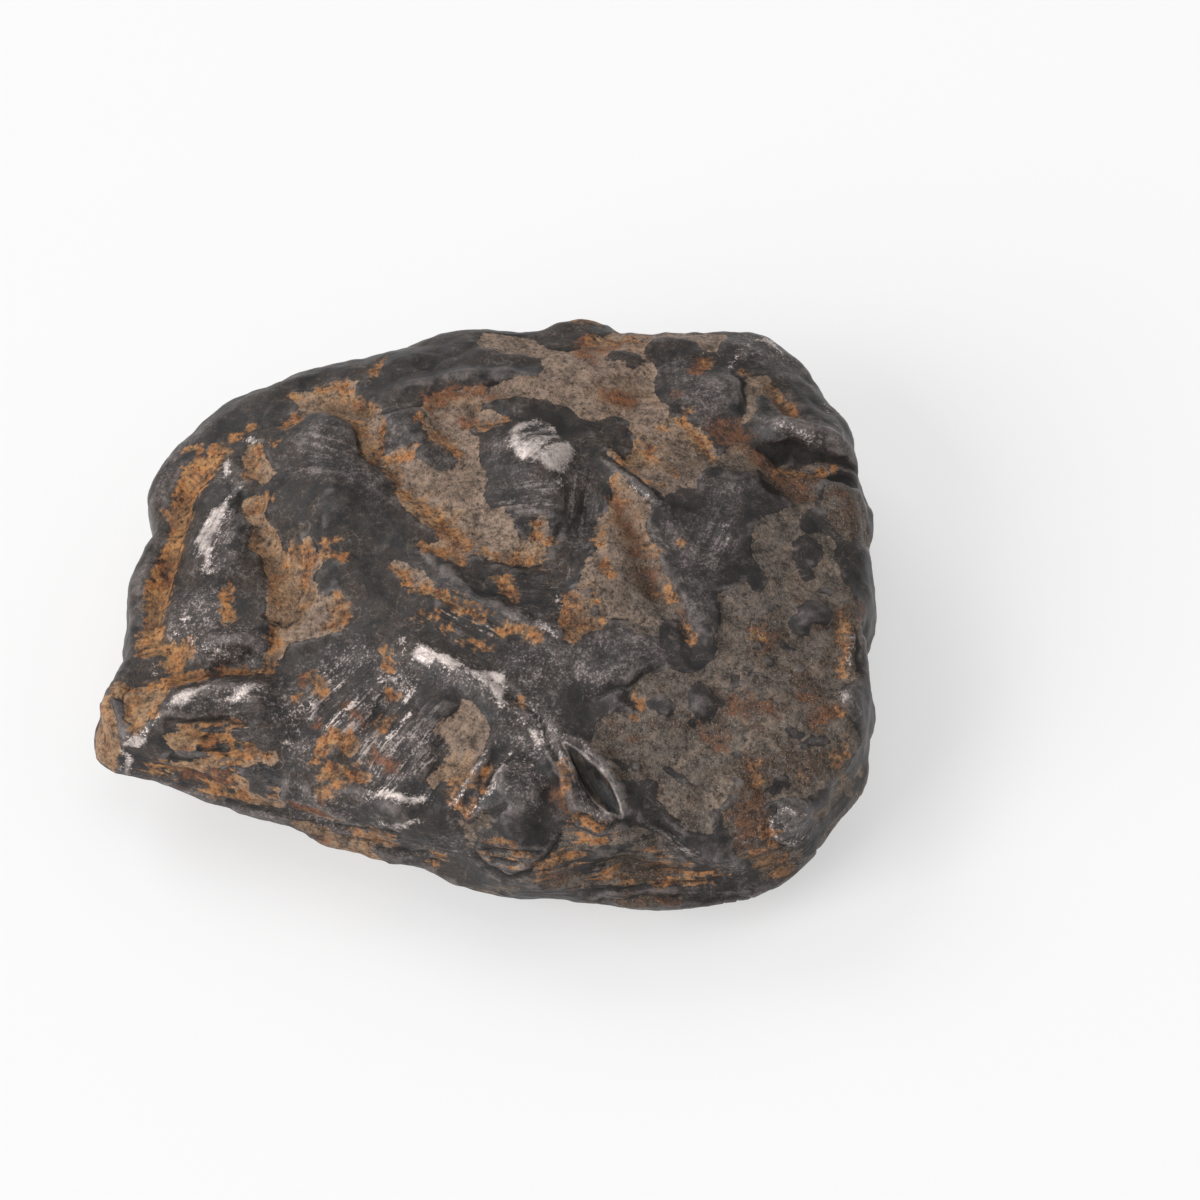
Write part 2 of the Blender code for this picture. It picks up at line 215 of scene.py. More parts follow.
# Marks of the top, seen from above: x to the right, y to the back. A line is a row of points with
# its half width at each, an oval is its middle, two half sizes and turn in degrees.
TOP_CRUST = Marks(
    lines=(
        # the small knob at the back and the lens between the diagonal bands
        ((4.8, 21.9, 0.5), (7.8, 21.7, 0.6)), ((-6.4, -3.1, 0.3), (-4.8, -4.6, 0.6), (-3.8, -5.7, 0.3)),
    ),
    outlines=(
        # the valley on the left
        ((-17.6, 3.9), (-16.9, 4.2), (-16.0, 3.7), (-15.6, 3.2), (-16.0, 2.4), (-15.6, 1.2), (-15.0, 0.4),
         (-14.6, -0.4), (-13.7, -1.6), (-12.9, -0.4), (-12.4, -0.6), (-11.9, -2.0), (-11.6, -2.7),
         (-12.1, -3.4), (-11.9, -4.2), (-11.9, -5.1), (-10.6, -5.2), (-10.0, -5.8), (-9.7, -6.8),
         (-10.2, -7.9), (-12.0, -8.1), (-13.9, -8.2), (-14.3, -9.2), (-15.0, -9.5), (-15.4, -8.8),
         (-14.9, -8.0), (-15.0, -6.9), (-14.4, -6.3), (-15.5, -6.2), (-15.7, -5.4), (-15.6, -4.4),
         (-15.0, -3.6), (-15.2, -2.6), (-15.9, -1.7), (-16.1, -1.0), (-17.0, -0.8), (-17.2, -0.3),
         (-16.8, 0.6), (-16.8, 1.8), (-17.5, 2.6)),
        # the long valley from the back left to the middle
        ((-14.7, 13.3), (-14.2, 13.8), (-12.9, 13.8), (-11.6, 14.0), (-10.6, 14.4), (-9.7, 14.1),
         (-10.1, 13.2), (-9.8, 12.5), (-9.1, 11.9), (-8.6, 11.2), (-7.9, 10.6), (-7.6, 10.0), (-7.7, 9.3),
         (-7.6, 8.6), (-8.0, 8.0), (-8.0, 7.2), (-7.7, 6.7), (-6.9, 6.5), (-5.9, 6.4), (-5.4, 6.8),
         (-5.1, 6.4), (-5.2, 5.8), (-4.6, 5.3), (-3.8, 4.8), (-3.2, 4.6), (-2.5, 4.8), (-1.9, 5.8),
         (-2.6, 6.3), (-3.2, 6.9), (-4.1, 7.4), (-4.4, 7.9), (-3.6, 8.4), (-2.0, 8.6), (-0.7, 7.7),
         (-0.8, 6.5), (-0.7, 5.0), (-0.2, 4.2), (0.0, 3.0), (-0.4, 2.2), (0.1, 1.4), (1.2, 0.9), (1.7, 0.2),
         (2.0, -0.6), (2.4, -1.4), (3.0, -1.4), (3.3, -0.4), (3.4, 0.2), (4.2, 0.1), (4.4, -0.6),
         (4.2, -1.4), (4.2, -3.0), (3.6, -3.4), (2.4, -3.3), (1.2, -3.2), (0.2, -2.9), (-0.6, -2.8),
         (-1.4, -3.0), (-2.0, -3.6), (-2.6, -3.2), (-3.2, -2.0), (-4.8, -2.2), (-3.4, -1.4), (-3.6, -0.6),
         (-5.0, 0.4), (-5.8, 1.4), (-6.4, 2.4), (-6.6, 3.6), (-6.9, 4.8), (-7.6, 5.4), (-8.2, 5.6),
         (-8.3, 6.2), (-9.3, 6.4), (-9.4, 7.2), (-9.5, 8.2), (-9.4, 9.0), (-9.9, 9.6), (-10.6, 10.2),
         (-11.4, 10.4), (-11.9, 10.7), (-12.8, 11.0), (-13.4, 10.5), (-14.0, 9.9), (-14.7, 9.4),
         (-15.1, 9.4), (-14.4, 10.3), (-14.0, 11.2), (-13.8, 12.0), (-14.2, 12.6)),
        # the back, behind the bare hump, round to the big dark slab
        ((-0.8, 19.4), (-1.0, 18.2), (-0.4, 17.0), (0.6, 16.4), (2.0, 16.6), (3.4, 16.2), (3.8, 15.0),
         (3.6, 13.6), (2.2, 13.2), (0.2, 12.8), (-1.4, 12.4), (-3.2, 12.3), (-3.9, 11.8), (-4.6, 11.2),
         (-5.0, 10.4), (-4.6, 9.6), (-4.9, 8.9), (-4.4, 8.0), (-3.0, 8.4), (-1.6, 8.4), (-0.4, 8.2),
         (0.6, 9.0), (0.9, 9.6), (0.2, 10.2), (-0.8, 10.4), (-0.6, 11.0), (0.4, 11.4), (2.0, 11.6),
         (3.2, 11.4), (4.6, 11.0), (5.8, 10.6), (6.6, 9.6), (7.6, 9.2), (8.6, 9.8), (9.4, 10.1),
         (10.2, 9.6), (9.9, 8.6), (10.6, 8.0), (10.4, 6.8), (9.6, 6.4), (8.8, 6.9), (8.4, 6.2), (9.2, 5.2),
         (10.0, 4.6), (11.2, 3.4), (12.4, 2.6), (13.2, 3.0), (13.4, 3.6), (14.6, 3.4), (14.8, 4.4),
         (15.4, 5.3), (16.2, 5.6), (16.4, 6.4), (16.0, 7.6), (15.4, 8.6), (14.8, 9.4), (14.0, 9.9),
         (12.9, 10.1), (12.8, 11.4), (12.1, 12.4), (12.0, 13.2), (11.9, 14.6), (11.8, 16.0), (11.4, 16.8),
         (11.2, 17.6), (11.6, 18.4), (12.0, 19.2), (13.2, 19.4), (15.0, 18.8), (15.2, 17.8), (16.4, 17.6),
         (16.8, 18.6), (17.2, 19.8), (15.6, 20.8), (12.0, 20.8), (9.6, 20.4), (8.4, 19.4), (7.4, 18.4),
         (6.4, 17.4), (5.0, 17.0), (4.0, 17.6), (3.2, 18.6), (1.6, 19.5)),
        # between the dark bands, right of the middle
        ((7.7, 0.9), (8.4, 1.2), (8.6, 2.6), (8.7, 4.0), (9.2, 4.0), (9.9, 3.2), (10.8, 2.4), (11.6, 1.8),
         (11.2, 0.8), (11.0, -0.4), (11.8, -1.6), (12.0, -2.6), (11.9, -3.6), (12.4, -4.6), (13.2, -5.4),
         (13.6, -6.4), (14.0, -7.6), (14.4, -8.6), (14.2, -9.8), (13.8, -8.8), (13.4, -7.8), (12.4, -7.8),
         (12.0, -8.4), (11.9, -9.2), (10.4, -9.4), (9.9, -8.6), (9.9, -7.8), (8.6, -7.7), (8.2, -8.6),
         (7.2, -8.9), (6.2, -9.6), (5.8, -10.2), (5.6, -9.2), (5.0, -8.0), (5.2, -7.0), (5.6, -6.2),
         (6.4, -5.6), (6.8, -4.4), (6.9, -3.4), (7.4, -2.6), (7.7, -1.4), (7.6, -0.4)),
        # the broad shelf on the right
        ((16.1, -5.9), (17.4, -5.2), (18.2, -4.9), (19.0, -5.3), (19.6, -4.9), (19.9, -4.2), (19.2, -3.2),
         (18.7, -2.2), (18.5, -0.6), (18.9, 0.4), (19.8, 1.6), (20.8, 2.4), (21.7, 3.0), (21.6, 4.2),
         (20.8, 5.2), (19.4, 5.6), (18.0, 5.4), (16.6, 5.3), (16.3, 6.2), (16.8, 7.6), (17.4, 8.6),
         (18.6, 8.2), (19.6, 7.2), (20.4, 6.9), (21.2, 7.5), (22.4, 7.4), (24.4, 7.8), (24.2, 6.8),
         (23.6, 5.8), (23.2, 4.6), (23.0, 3.2), (22.2, 2.4), (21.8, 1.4), (22.6, 1.0), (23.6, 1.2),
         (24.7, 0.4), (24.5, -1.0), (24.8, -2.4), (25.4, -3.6), (25.9, -4.8), (26.3, -6.2), (26.0, -8.0),
         (25.9, -10.4), (26.1, -11.4), (24.8, -12.0), (24.4, -13.4), (25.2, -14.6), (26.2, -15.6),
         (25.8, -16.6), (25.1, -17.6), (23.6, -18.6), (22.6, -19.6), (21.6, -20.4), (20.4, -20.8),
         (19.4, -21.6), (19.2, -22.6), (17.6, -22.9), (16.5, -22.4), (15.6, -22.6), (14.0, -22.6),
         (13.0, -21.8), (12.0, -21.0), (11.9, -19.8), (11.4, -19.6), (10.0, -20.0), (9.2, -20.4),
         (8.6, -19.6), (8.2, -18.4), (7.2, -18.0), (7.4, -17.0), (7.6, -16.2), (8.2, -15.4), (9.4, -15.0),
         (10.2, -15.2), (10.4, -14.6), (10.0, -13.6), (10.2, -12.8), (11.2, -12.2), (12.0, -12.1),
         (14.0, -12.2), (14.6, -12.0), (14.9, -11.4), (15.8, -11.1), (16.1, -10.2), (15.9, -9.4),
         (16.1, -8.0), (16.1, -6.6)),
        # the face that leans out on the right
        ((24.2, 5.4), (26.0, 6.0), (27.0, 5.4), (27.2, 3.0), (26.8, 1.2), (25.4, 0.8), (24.4, 1.8),
         (23.8, 3.4)),
        # left of the fan
        ((-1.6, -13.9), (-0.9, -13.9), (-0.5, -14.8), (0.2, -15.8), (0.3, -16.6), (0.0, -17.6),
         (-0.2, -18.2), (-0.9, -19.0), (-1.0, -19.8), (-2.0, -19.9), (-3.0, -19.8), (-3.6, -20.1),
         (-3.9, -19.4), (-3.2, -18.5), (-2.5, -17.9), (-2.4, -17.2), (-3.0, -16.6), (-3.5, -16.2),
         (-2.9, -15.5), (-2.1, -15.0), (-1.8, -14.4)),
        ((-1.6, -22.2), (-0.4, -22.1), (0.3, -22.0), (0.5, -22.6), (-0.4, -23.0)),
        # the pointed end
        ((-26.8, -9.8), (-25.6, -9.9), (-25.0, -10.8), (-25.2, -12.0), (-26.6, -12.2), (-27.2, -11.0)),
        ((-24.8, -10.6), (-23.4, -10.6), (-22.8, -11.2), (-21.9, -11.8), (-22.6, -12.9), (-23.6, -13.7),
         (-24.2, -14.2), (-25.2, -13.4), (-25.4, -12.4)),
        ((-22.2, -14.6), (-20.4, -14.2), (-17.2, -14.2), (-16.0, -14.6), (-17.0, -14.9), (-15.2, -15.0),
         (-15.6, -15.5), (-17.6, -15.6), (-15.0, -15.9), (-14.4, -16.6), (-15.6, -16.9), (-16.6, -17.8),
         (-17.8, -17.3), (-19.6, -16.5), (-21.4, -15.6)),
        # beside the left shoulder
        ((-17.6, 8.8), (-16.6, 8.6), (-16.2, 7.6), (-15.8, 6.6), (-15.2, 5.8), (-16.2, 5.0), (-17.0, 5.6),
         (-17.6, 6.6), (-17.9, 7.8)),
        # the band above the crescent plates
        ((18.3, 14.8), (19.4, 15.4), (20.4, 15.6), (20.2, 14.6), (21.0, 13.8), (21.8, 12.4), (22.6, 11.2),
         (22.9, 10.2), (22.0, 10.3), (21.2, 11.6), (20.4, 12.8), (19.7, 13.4), (19.2, 12.6), (19.0, 11.2),
         (18.8, 10.2), (18.2, 10.0), (18.5, 11.8), (18.4, 13.6)),
    ),
    spared_ovals=(
        (22.9, -6.4, 1.2, 0.9, 20), (21.9, -7.6, 0.7, 0.9, 0), (19.6, -6.4, 0.4, 0.3, 0),
        (21.8, -11.1, 0.4, 0.5, 0), (20.7, -9.3, 0.2, 0.5, 20), (21.2, -9.6, 0.5, 0.18, -15),
        (18.9, -9.8, 0.5, 0.3, 0), (19.6, -10.7, 0.3, 0.3, 0), (18.7, -11.9, 0.7, 0.2, 5),
        (17.1, -12.8, 0.35, 0.8, -25), (17.7, -12.9, 0.3, 0.45, 0), (15.0, -14.2, 1.0, 1.5, 12),
        (16.2, -14.4, 0.4, 0.35, 0), (13.6, -15.5, 0.25, 0.4, 0), (14.3, -15.7, 0.35, 0.2, 0),
        (17.3, -17.6, 0.35, 0.35, 0), (21.0, -15.9, 0.5, 0.28, -30), (21.8, -16.3, 0.3, 0.2, 0),
        (23.0, -16.6, 0.9, 0.35, 5), (22.0, -16.9, 0.45, 0.25, 0), (13.4, -19.4, 0.65, 0.35, -25),
        (12.6, -19.0, 0.35, 0.18, -20), (17.4, -19.6, 0.33, 0.55, 20), (20.4, -19.2, 0.6, 0.45, 20),
        (19.9, -19.7, 0.5, 0.25, 10), (9.2, -19.0, 0.6, 0.4, 0), (10.4, -18.9, 0.4, 0.4, 0),
        (10.9, -20.6, 1.0, 0.9, 0), (16.6, -21.1, 0.9, 0.25, 35), (15.9, -22.0, 0.5, 0.7, 0),
        (9.8, 16.5, 1.2, 0.6, -12), (10.4, 15.8, 0.5, 0.45, 0), (13.5, 18.1, 1.6, 0.8, 0),
        (22.6, -0.8, 1.1, 1.4, 0), (23.9, -4.1, 0.5, 0.4, 0), (22.4, -2.6, 0.6, 0.8, 20),
        (7.0, -6.4, 0.3, 0.5, 10), (7.6, -7.4, 0.35, 0.3, 0), (19.3, 6.0, 0.22, 0.2, 0),
        (8.8, 9.2, 1.1, 0.8, 20), (15.0, 15.8, 0.7, 1.1, 20),
    ),
    spared_outlines=(
        ((10.9, -14.2), (11.6, -13.9), (12.2, -13.7), (12.6, -14.1), (13.1, -14.3), (13.2, -14.9),
         (12.5, -15.4), (11.8, -15.2), (11.0, -14.8)),
    ),
)
TOP_RUST = Marks(
    lines=(
        # the channel inside the left rim
        ((-19.6, 8.6, 0.7), (-21.0, 7.3, 1.2), (-21.9, 5.4, 1.1), (-22.3, 3.4, 0.7), (-22.8, 0.8, 0.7),
         (-23.4, -1.6, 0.9), (-23.6, -4.6, 0.7), (-23.8, -7.0, 0.9)),
        ((-24.2, -6.2, 0.3), (-25.0, -5.2, 0.15)), ((-23.4, 4.6, 0.3), (-22.6, 4.4, 0.3)),
        ((-22.8, -7.2, 0.6), (-21.2, -8.0, 0.6), (-22.4, -8.8, 0.5)),
        ((-23.6, -10.6, 0.25), (-22.2, -10.8, 0.9), (-20.4, -10.0, 0.7), (-17.8, -9.6, 0.42),
         (-15.2, -10.0, 0.15)),
        ((-25.3, -10.8, 0.35),), ((-24.8, -13.2, 0.45), (-24.3, -13.9, 0.35)), ((-23.2, -13.4, 0.3),),
        # the layers at the front left
        ((-20.0, -14.8, 0.35), (-17.2, -14.5, 0.3)), ((-17.5, -15.4, 0.25), (-15.0, -15.0, 0.2)),
        ((-18.4, -16.3, 0.45), (-17.0, -16.2, 0.3), (-15.0, -16.0, 0.25)),
        ((-11.8, -16.7, 0.4), (-10.6, -15.6, 0.6), (-9.4, -16.2, 0.5)),
        ((-11.2, -17.9, 0.4), (-9.6, -18.1, 0.5), (-8.3, -18.3, 0.35)),
        ((-11.4, -19.0, 0.3), (-10.0, -18.8, 0.35)), ((-12.0, -10.9, 0.35), (-11.4, -12.2, 0.3)),
        ((-13.1, -12.9, 0.25),),
        # edges of the valley on the left
        ((-15.9, 3.6, 0.5), (-16.8, 3.0, 0.4)),
        ((-14.6, -1.9, 0.4), (-15.0, -3.4, 0.35), (-14.8, -4.6, 0.3)),
        ((-13.6, -1.0, 0.6), (-12.7, -2.2, 0.7), (-12.9, -3.4, 0.5)),
        ((-11.4, -1.0, 0.3), (-10.4, -1.0, 0.2)), ((-11.4, -2.0, 0.45), (-9.8, -2.5, 0.25)),
        ((-10.6, -5.6, 0.5), (-10.1, -6.8, 0.6), (-11.0, -7.4, 0.4)),
        ((-14.9, -6.8, 0.35), (-14.7, -8.4, 0.5), (-15.0, -9.2, 0.3)), ((-13.2, -5.2, 0.4),),
        ((-18.4, -3.8, 0.3), (-18.2, -6.0, 0.5)), ((-17.2, 6.0, 0.4), (-16.9, 8.2, 0.4)),
        ((-18.4, 9.8, 0.35), (-17.0, 10.4, 0.3)), ((-22.0, 9.7, 0.3), (-21.1, 9.3, 0.3)),
        ((-20.6, 8.4, 0.25), (-19.6, 9.0, 0.3)), ((-15.4, 8.2, 0.25),),
        # edges of the long valley
        ((-14.4, 13.3, 0.35), (-13.8, 12.8, 0.2)),
        ((-12.2, 13.8, 0.2), (-10.8, 13.9, 0.35), (-10.2, 12.6, 0.3), (-8.6, 11.0, 0.3)),
        ((-14.6, 9.7, 0.35), (-14.0, 10.6, 0.3)),
        ((-11.2, 10.6, 0.3), (-9.6, 9.9, 0.35), (-9.0, 8.6, 0.35), (-8.2, 7.0, 0.4)),
        ((-7.9, 9.0, 0.3), (-8.2, 6.4, 0.4), (-7.0, 6.0, 0.45), (-5.5, 6.3, 0.4)),
        ((-7.0, 5.0, 0.4), (-6.4, 4.2, 0.3)), ((-8.1, 16.9, 0.3), (-8.1, 15.8, 0.3), (-8.5, 14.8, 0.2)),
        ((-5.1, 9.3, 0.3), (-4.6, 8.4, 0.3)), ((-4.1, 7.7, 0.35), (-2.9, 7.4, 0.45), (-2.2, 6.2, 0.25)),
        ((-0.9, 8.9, 0.3), (0.6, 9.2, 0.4)),
        ((-6.2, 3.0, 0.3), (-4.6, 1.9, 0.6), (-3.4, 0.6, 0.5), (-1.6, -1.6, 0.4)),
        ((-4.6, -2.1, 0.25), (-2.2, -2.6, 0.5), (-1.8, -3.4, 0.3)),
        ((0.0, -2.4, 0.35), (2.6, -3.0, 0.4), (3.9, -3.2, 0.25)), ((3.5, -0.2, 0.25), (3.4, -1.4, 0.2)),
        ((4.3, -1.6, 0.25),),
        # veins between the diagonal bands
        ((-6.5, -3.4, 0.25), (-5.2, -5.1, 0.3), (-3.4, -5.8, 0.35), (-2.0, -6.8, 0.4), (-0.2, -7.8, 0.35)),
        ((-4.7, -7.2, 0.25), (-3.4, -7.7, 0.2)), ((-2.8, -8.5, 0.3),), ((1.3, -8.8, 0.4), (3.6, -9.6, 0.3)),
        ((-1.6, -9.7, 0.2), (0.4, -10.2, 0.3)), ((0.5, -4.8, 0.25), (1.6, -5.6, 0.65), (1.7, -6.4, 0.35)),
        ((5.8, -6.4, 0.5), (5.9, -8.4, 0.75), (5.9, -9.8, 0.3)), ((6.0, -8.2, 0.6), (7.8, -8.4, 0.3)),
        ((7.6, -6.7, 0.35),), ((2.4, -14.4, 0.3),), ((-7.0, -10.3, 0.5), (-6.6, -11.2, 0.3)),
        ((-6.6, -13.0, 0.5),), ((-7.0, -14.6, 0.35), (-7.1, -15.4, 0.4)),
        ((0.5, -18.8, 0.15), (-0.1, -20.4, 0.4)), ((5.2, -19.2, 0.15), (5.6, -21.0, 0.25)),
        ((6.3, -22.9, 0.3), (9.0, -23.2, 0.3)), ((-1.0, -21.6, 0.3), (-2.2, -21.0, 0.25)),
        ((-2.2, -20.0, 0.25), (-0.8, -20.0, 0.2)),
        # right of the middle
        ((9.4, 5.8, 0.45), (10.4, 4.8, 0.35)), ((11.2, 7.6, 0.4), (11.7, 6.4, 0.3)), ((12.3, 9.2, 0.4),),
        ((13.9, 9.9, 0.25), (14.9, 8.7, 0.3), (15.7, 7.2, 0.25), (16.1, 6.3, 0.2)),
        ((14.2, 11.0, 0.15), (14.1, 10.0, 0.25)), ((13.4, 4.8, 0.35),),
        ((11.3, 3.7, 0.2), (12.4, 3.6, 0.15)), ((8.8, 3.6, 0.25), (9.3, 2.6, 0.25)),
        ((8.2, -3.6, 0.3), (8.7, -4.5, 0.35)), ((7.9, -1.2, 0.35), (7.9, -2.4, 0.25)),
        ((11.0, -1.4, 0.22), (11.8, -2.2, 0.15)), ((12.2, -5.0, 0.2), (13.1, -6.2, 0.15)),
        ((14.0, -8.6, 0.12), (14.3, -9.6, 0.15)), ((10.4, -14.2, 0.2), (10.7, -15.0, 0.25)),
        ((10.2, -15.6, 0.2),), ((13.7, -1.5, 0.25),), ((16.0, 16.6, 0.4), (15.4, 15.6, 0.3)),
        ((9.2, 18.5, 0.35), (10.4, 18.8, 0.35)), ((7.4, 18.4, 0.3), (8.2, 17.9, 0.25)),
        ((18.4, 15.2, 0.25),), ((20.4, 14.2, 0.15), (21.5, 12.6, 0.2), (22.7, 10.3, 0.1)),
        ((22.8, 6.4, 0.1), (24.6, 7.6, 0.2)), ((20.2, 6.6, 0.15), (22.4, 7.0, 0.15)),
        ((5.6, 21.4, 0.5), (7.6, 21.2, 0.4)),
        # the shelf's right edge and its front corner
        ((25.0, -6.6, 0.25), (25.0, -9.6, 0.3)), ((24.6, -14.4, 0.3),), ((24.8, -11.0, 0.35),),
        ((24.2, -17.4, 0.3), (25.2, -16.2, 0.25)), ((18.7, -8.9, 0.35), (19.2, -9.2, 0.3)),
        ((18.2, -22.4, 0.4), (19.6, -22.2, 0.4)), ((18.6, -18.4, 0.15), (18.8, -19.6, 0.2)),
        ((22.0, -18.8, 0.2),),
    ),
)
TOP_EMBER = Marks(
    lines=(
        ((8.9, 3.0, 0.25), (9.4, 1.6, 0.6), (9.2, 0.4, 0.5)),
        ((9.8, 1.0, 0.35), (10.3, -0.6, 0.45), (10.7, -2.4, 0.5)),
        ((11.4, -2.4, 0.5), (11.4, -4.6, 0.5), (12.6, -5.4, 0.4), (13.2, -6.6, 0.3)),
        ((13.4, -6.6, 0.2), (14.0, -8.4, 0.12)), ((16.6, 9.6, 0.9), (17.8, 9.0, 1.0)),
        ((18.2, 8.2, 0.5), (19.4, 7.2, 0.6), (20.8, 6.4, 0.6), (22.2, 6.0, 1.1)),
        ((22.2, 5.6, 0.8), (22.4, 4.2, 0.6)), ((6.8, 18.2, 0.6), (7.4, 17.4, 0.6), (9.2, 18.0, 0.5)),
        ((6.6, 17.0, 0.6), (7.2, 15.8, 0.5)), ((15.2, 16.4, 0.5), (14.9, 15.2, 0.5)),
        ((-4.4, 11.4, 0.5), (-3.0, 12.0, 0.5), (-1.6, 11.9, 0.5), (0.8, 12.0, 0.4)),
        ((-4.4, 10.6, 0.5), (-3.4, 11.2, 0.4)), ((-2.2, 9.4, 0.5), (-1.2, 9.0, 0.5)),
        ((9.0, 12.0, 0.9), (10.4, 12.2, 0.5)), ((19.4, -9.0, 0.8),),
        ((18.4, -18.2, 0.3), (18.4, -19.8, 0.35), (18.8, -20.6, 0.5)),
        ((18.0, -21.2, 0.7), (17.4, -22.2, 0.6)), ((23.0, -14.8, 0.9), (24.4, -14.2, 0.5)),
        ((22.2, -13.4, 0.6),), ((17.6, -14.4, 0.8), (19.4, -14.6, 0.6)),
        ((16.4, -16.8, 0.6), (15.0, -16.4, 0.5)), ((24.9, -6.0, 0.3), (24.7, -8.2, 0.3)),
        ((26.4, -4.4, 0.4), (26.2, -5.4, 0.4)), ((25.2, 4.8, 0.5), (26.4, 3.2, 0.4)),
        ((-19.6, -16.0, 0.4), (-18.2, -16.6, 0.4)), ((21.0, 13.0, 0.5), (22.0, 11.6, 0.4)),
        ((-12.4, -11.4, 0.6),), ((-9.6, -13.4, 0.3), (-8.6, -14.6, 0.5)),
        ((-7.6, -17.0, 0.4), (-6.4, -18.4, 0.5)), ((-11.6, -14.6, 0.4),),
        ((-3.2, 0.4, 0.7), (-1.8, -1.8, 0.8)), ((10.2, -17.0, 0.4),), ((13.4, 12.6, 0.3),),
        ((4.6, -20.8, 0.4), (5.6, -22.2, 0.4)),
    ),
)
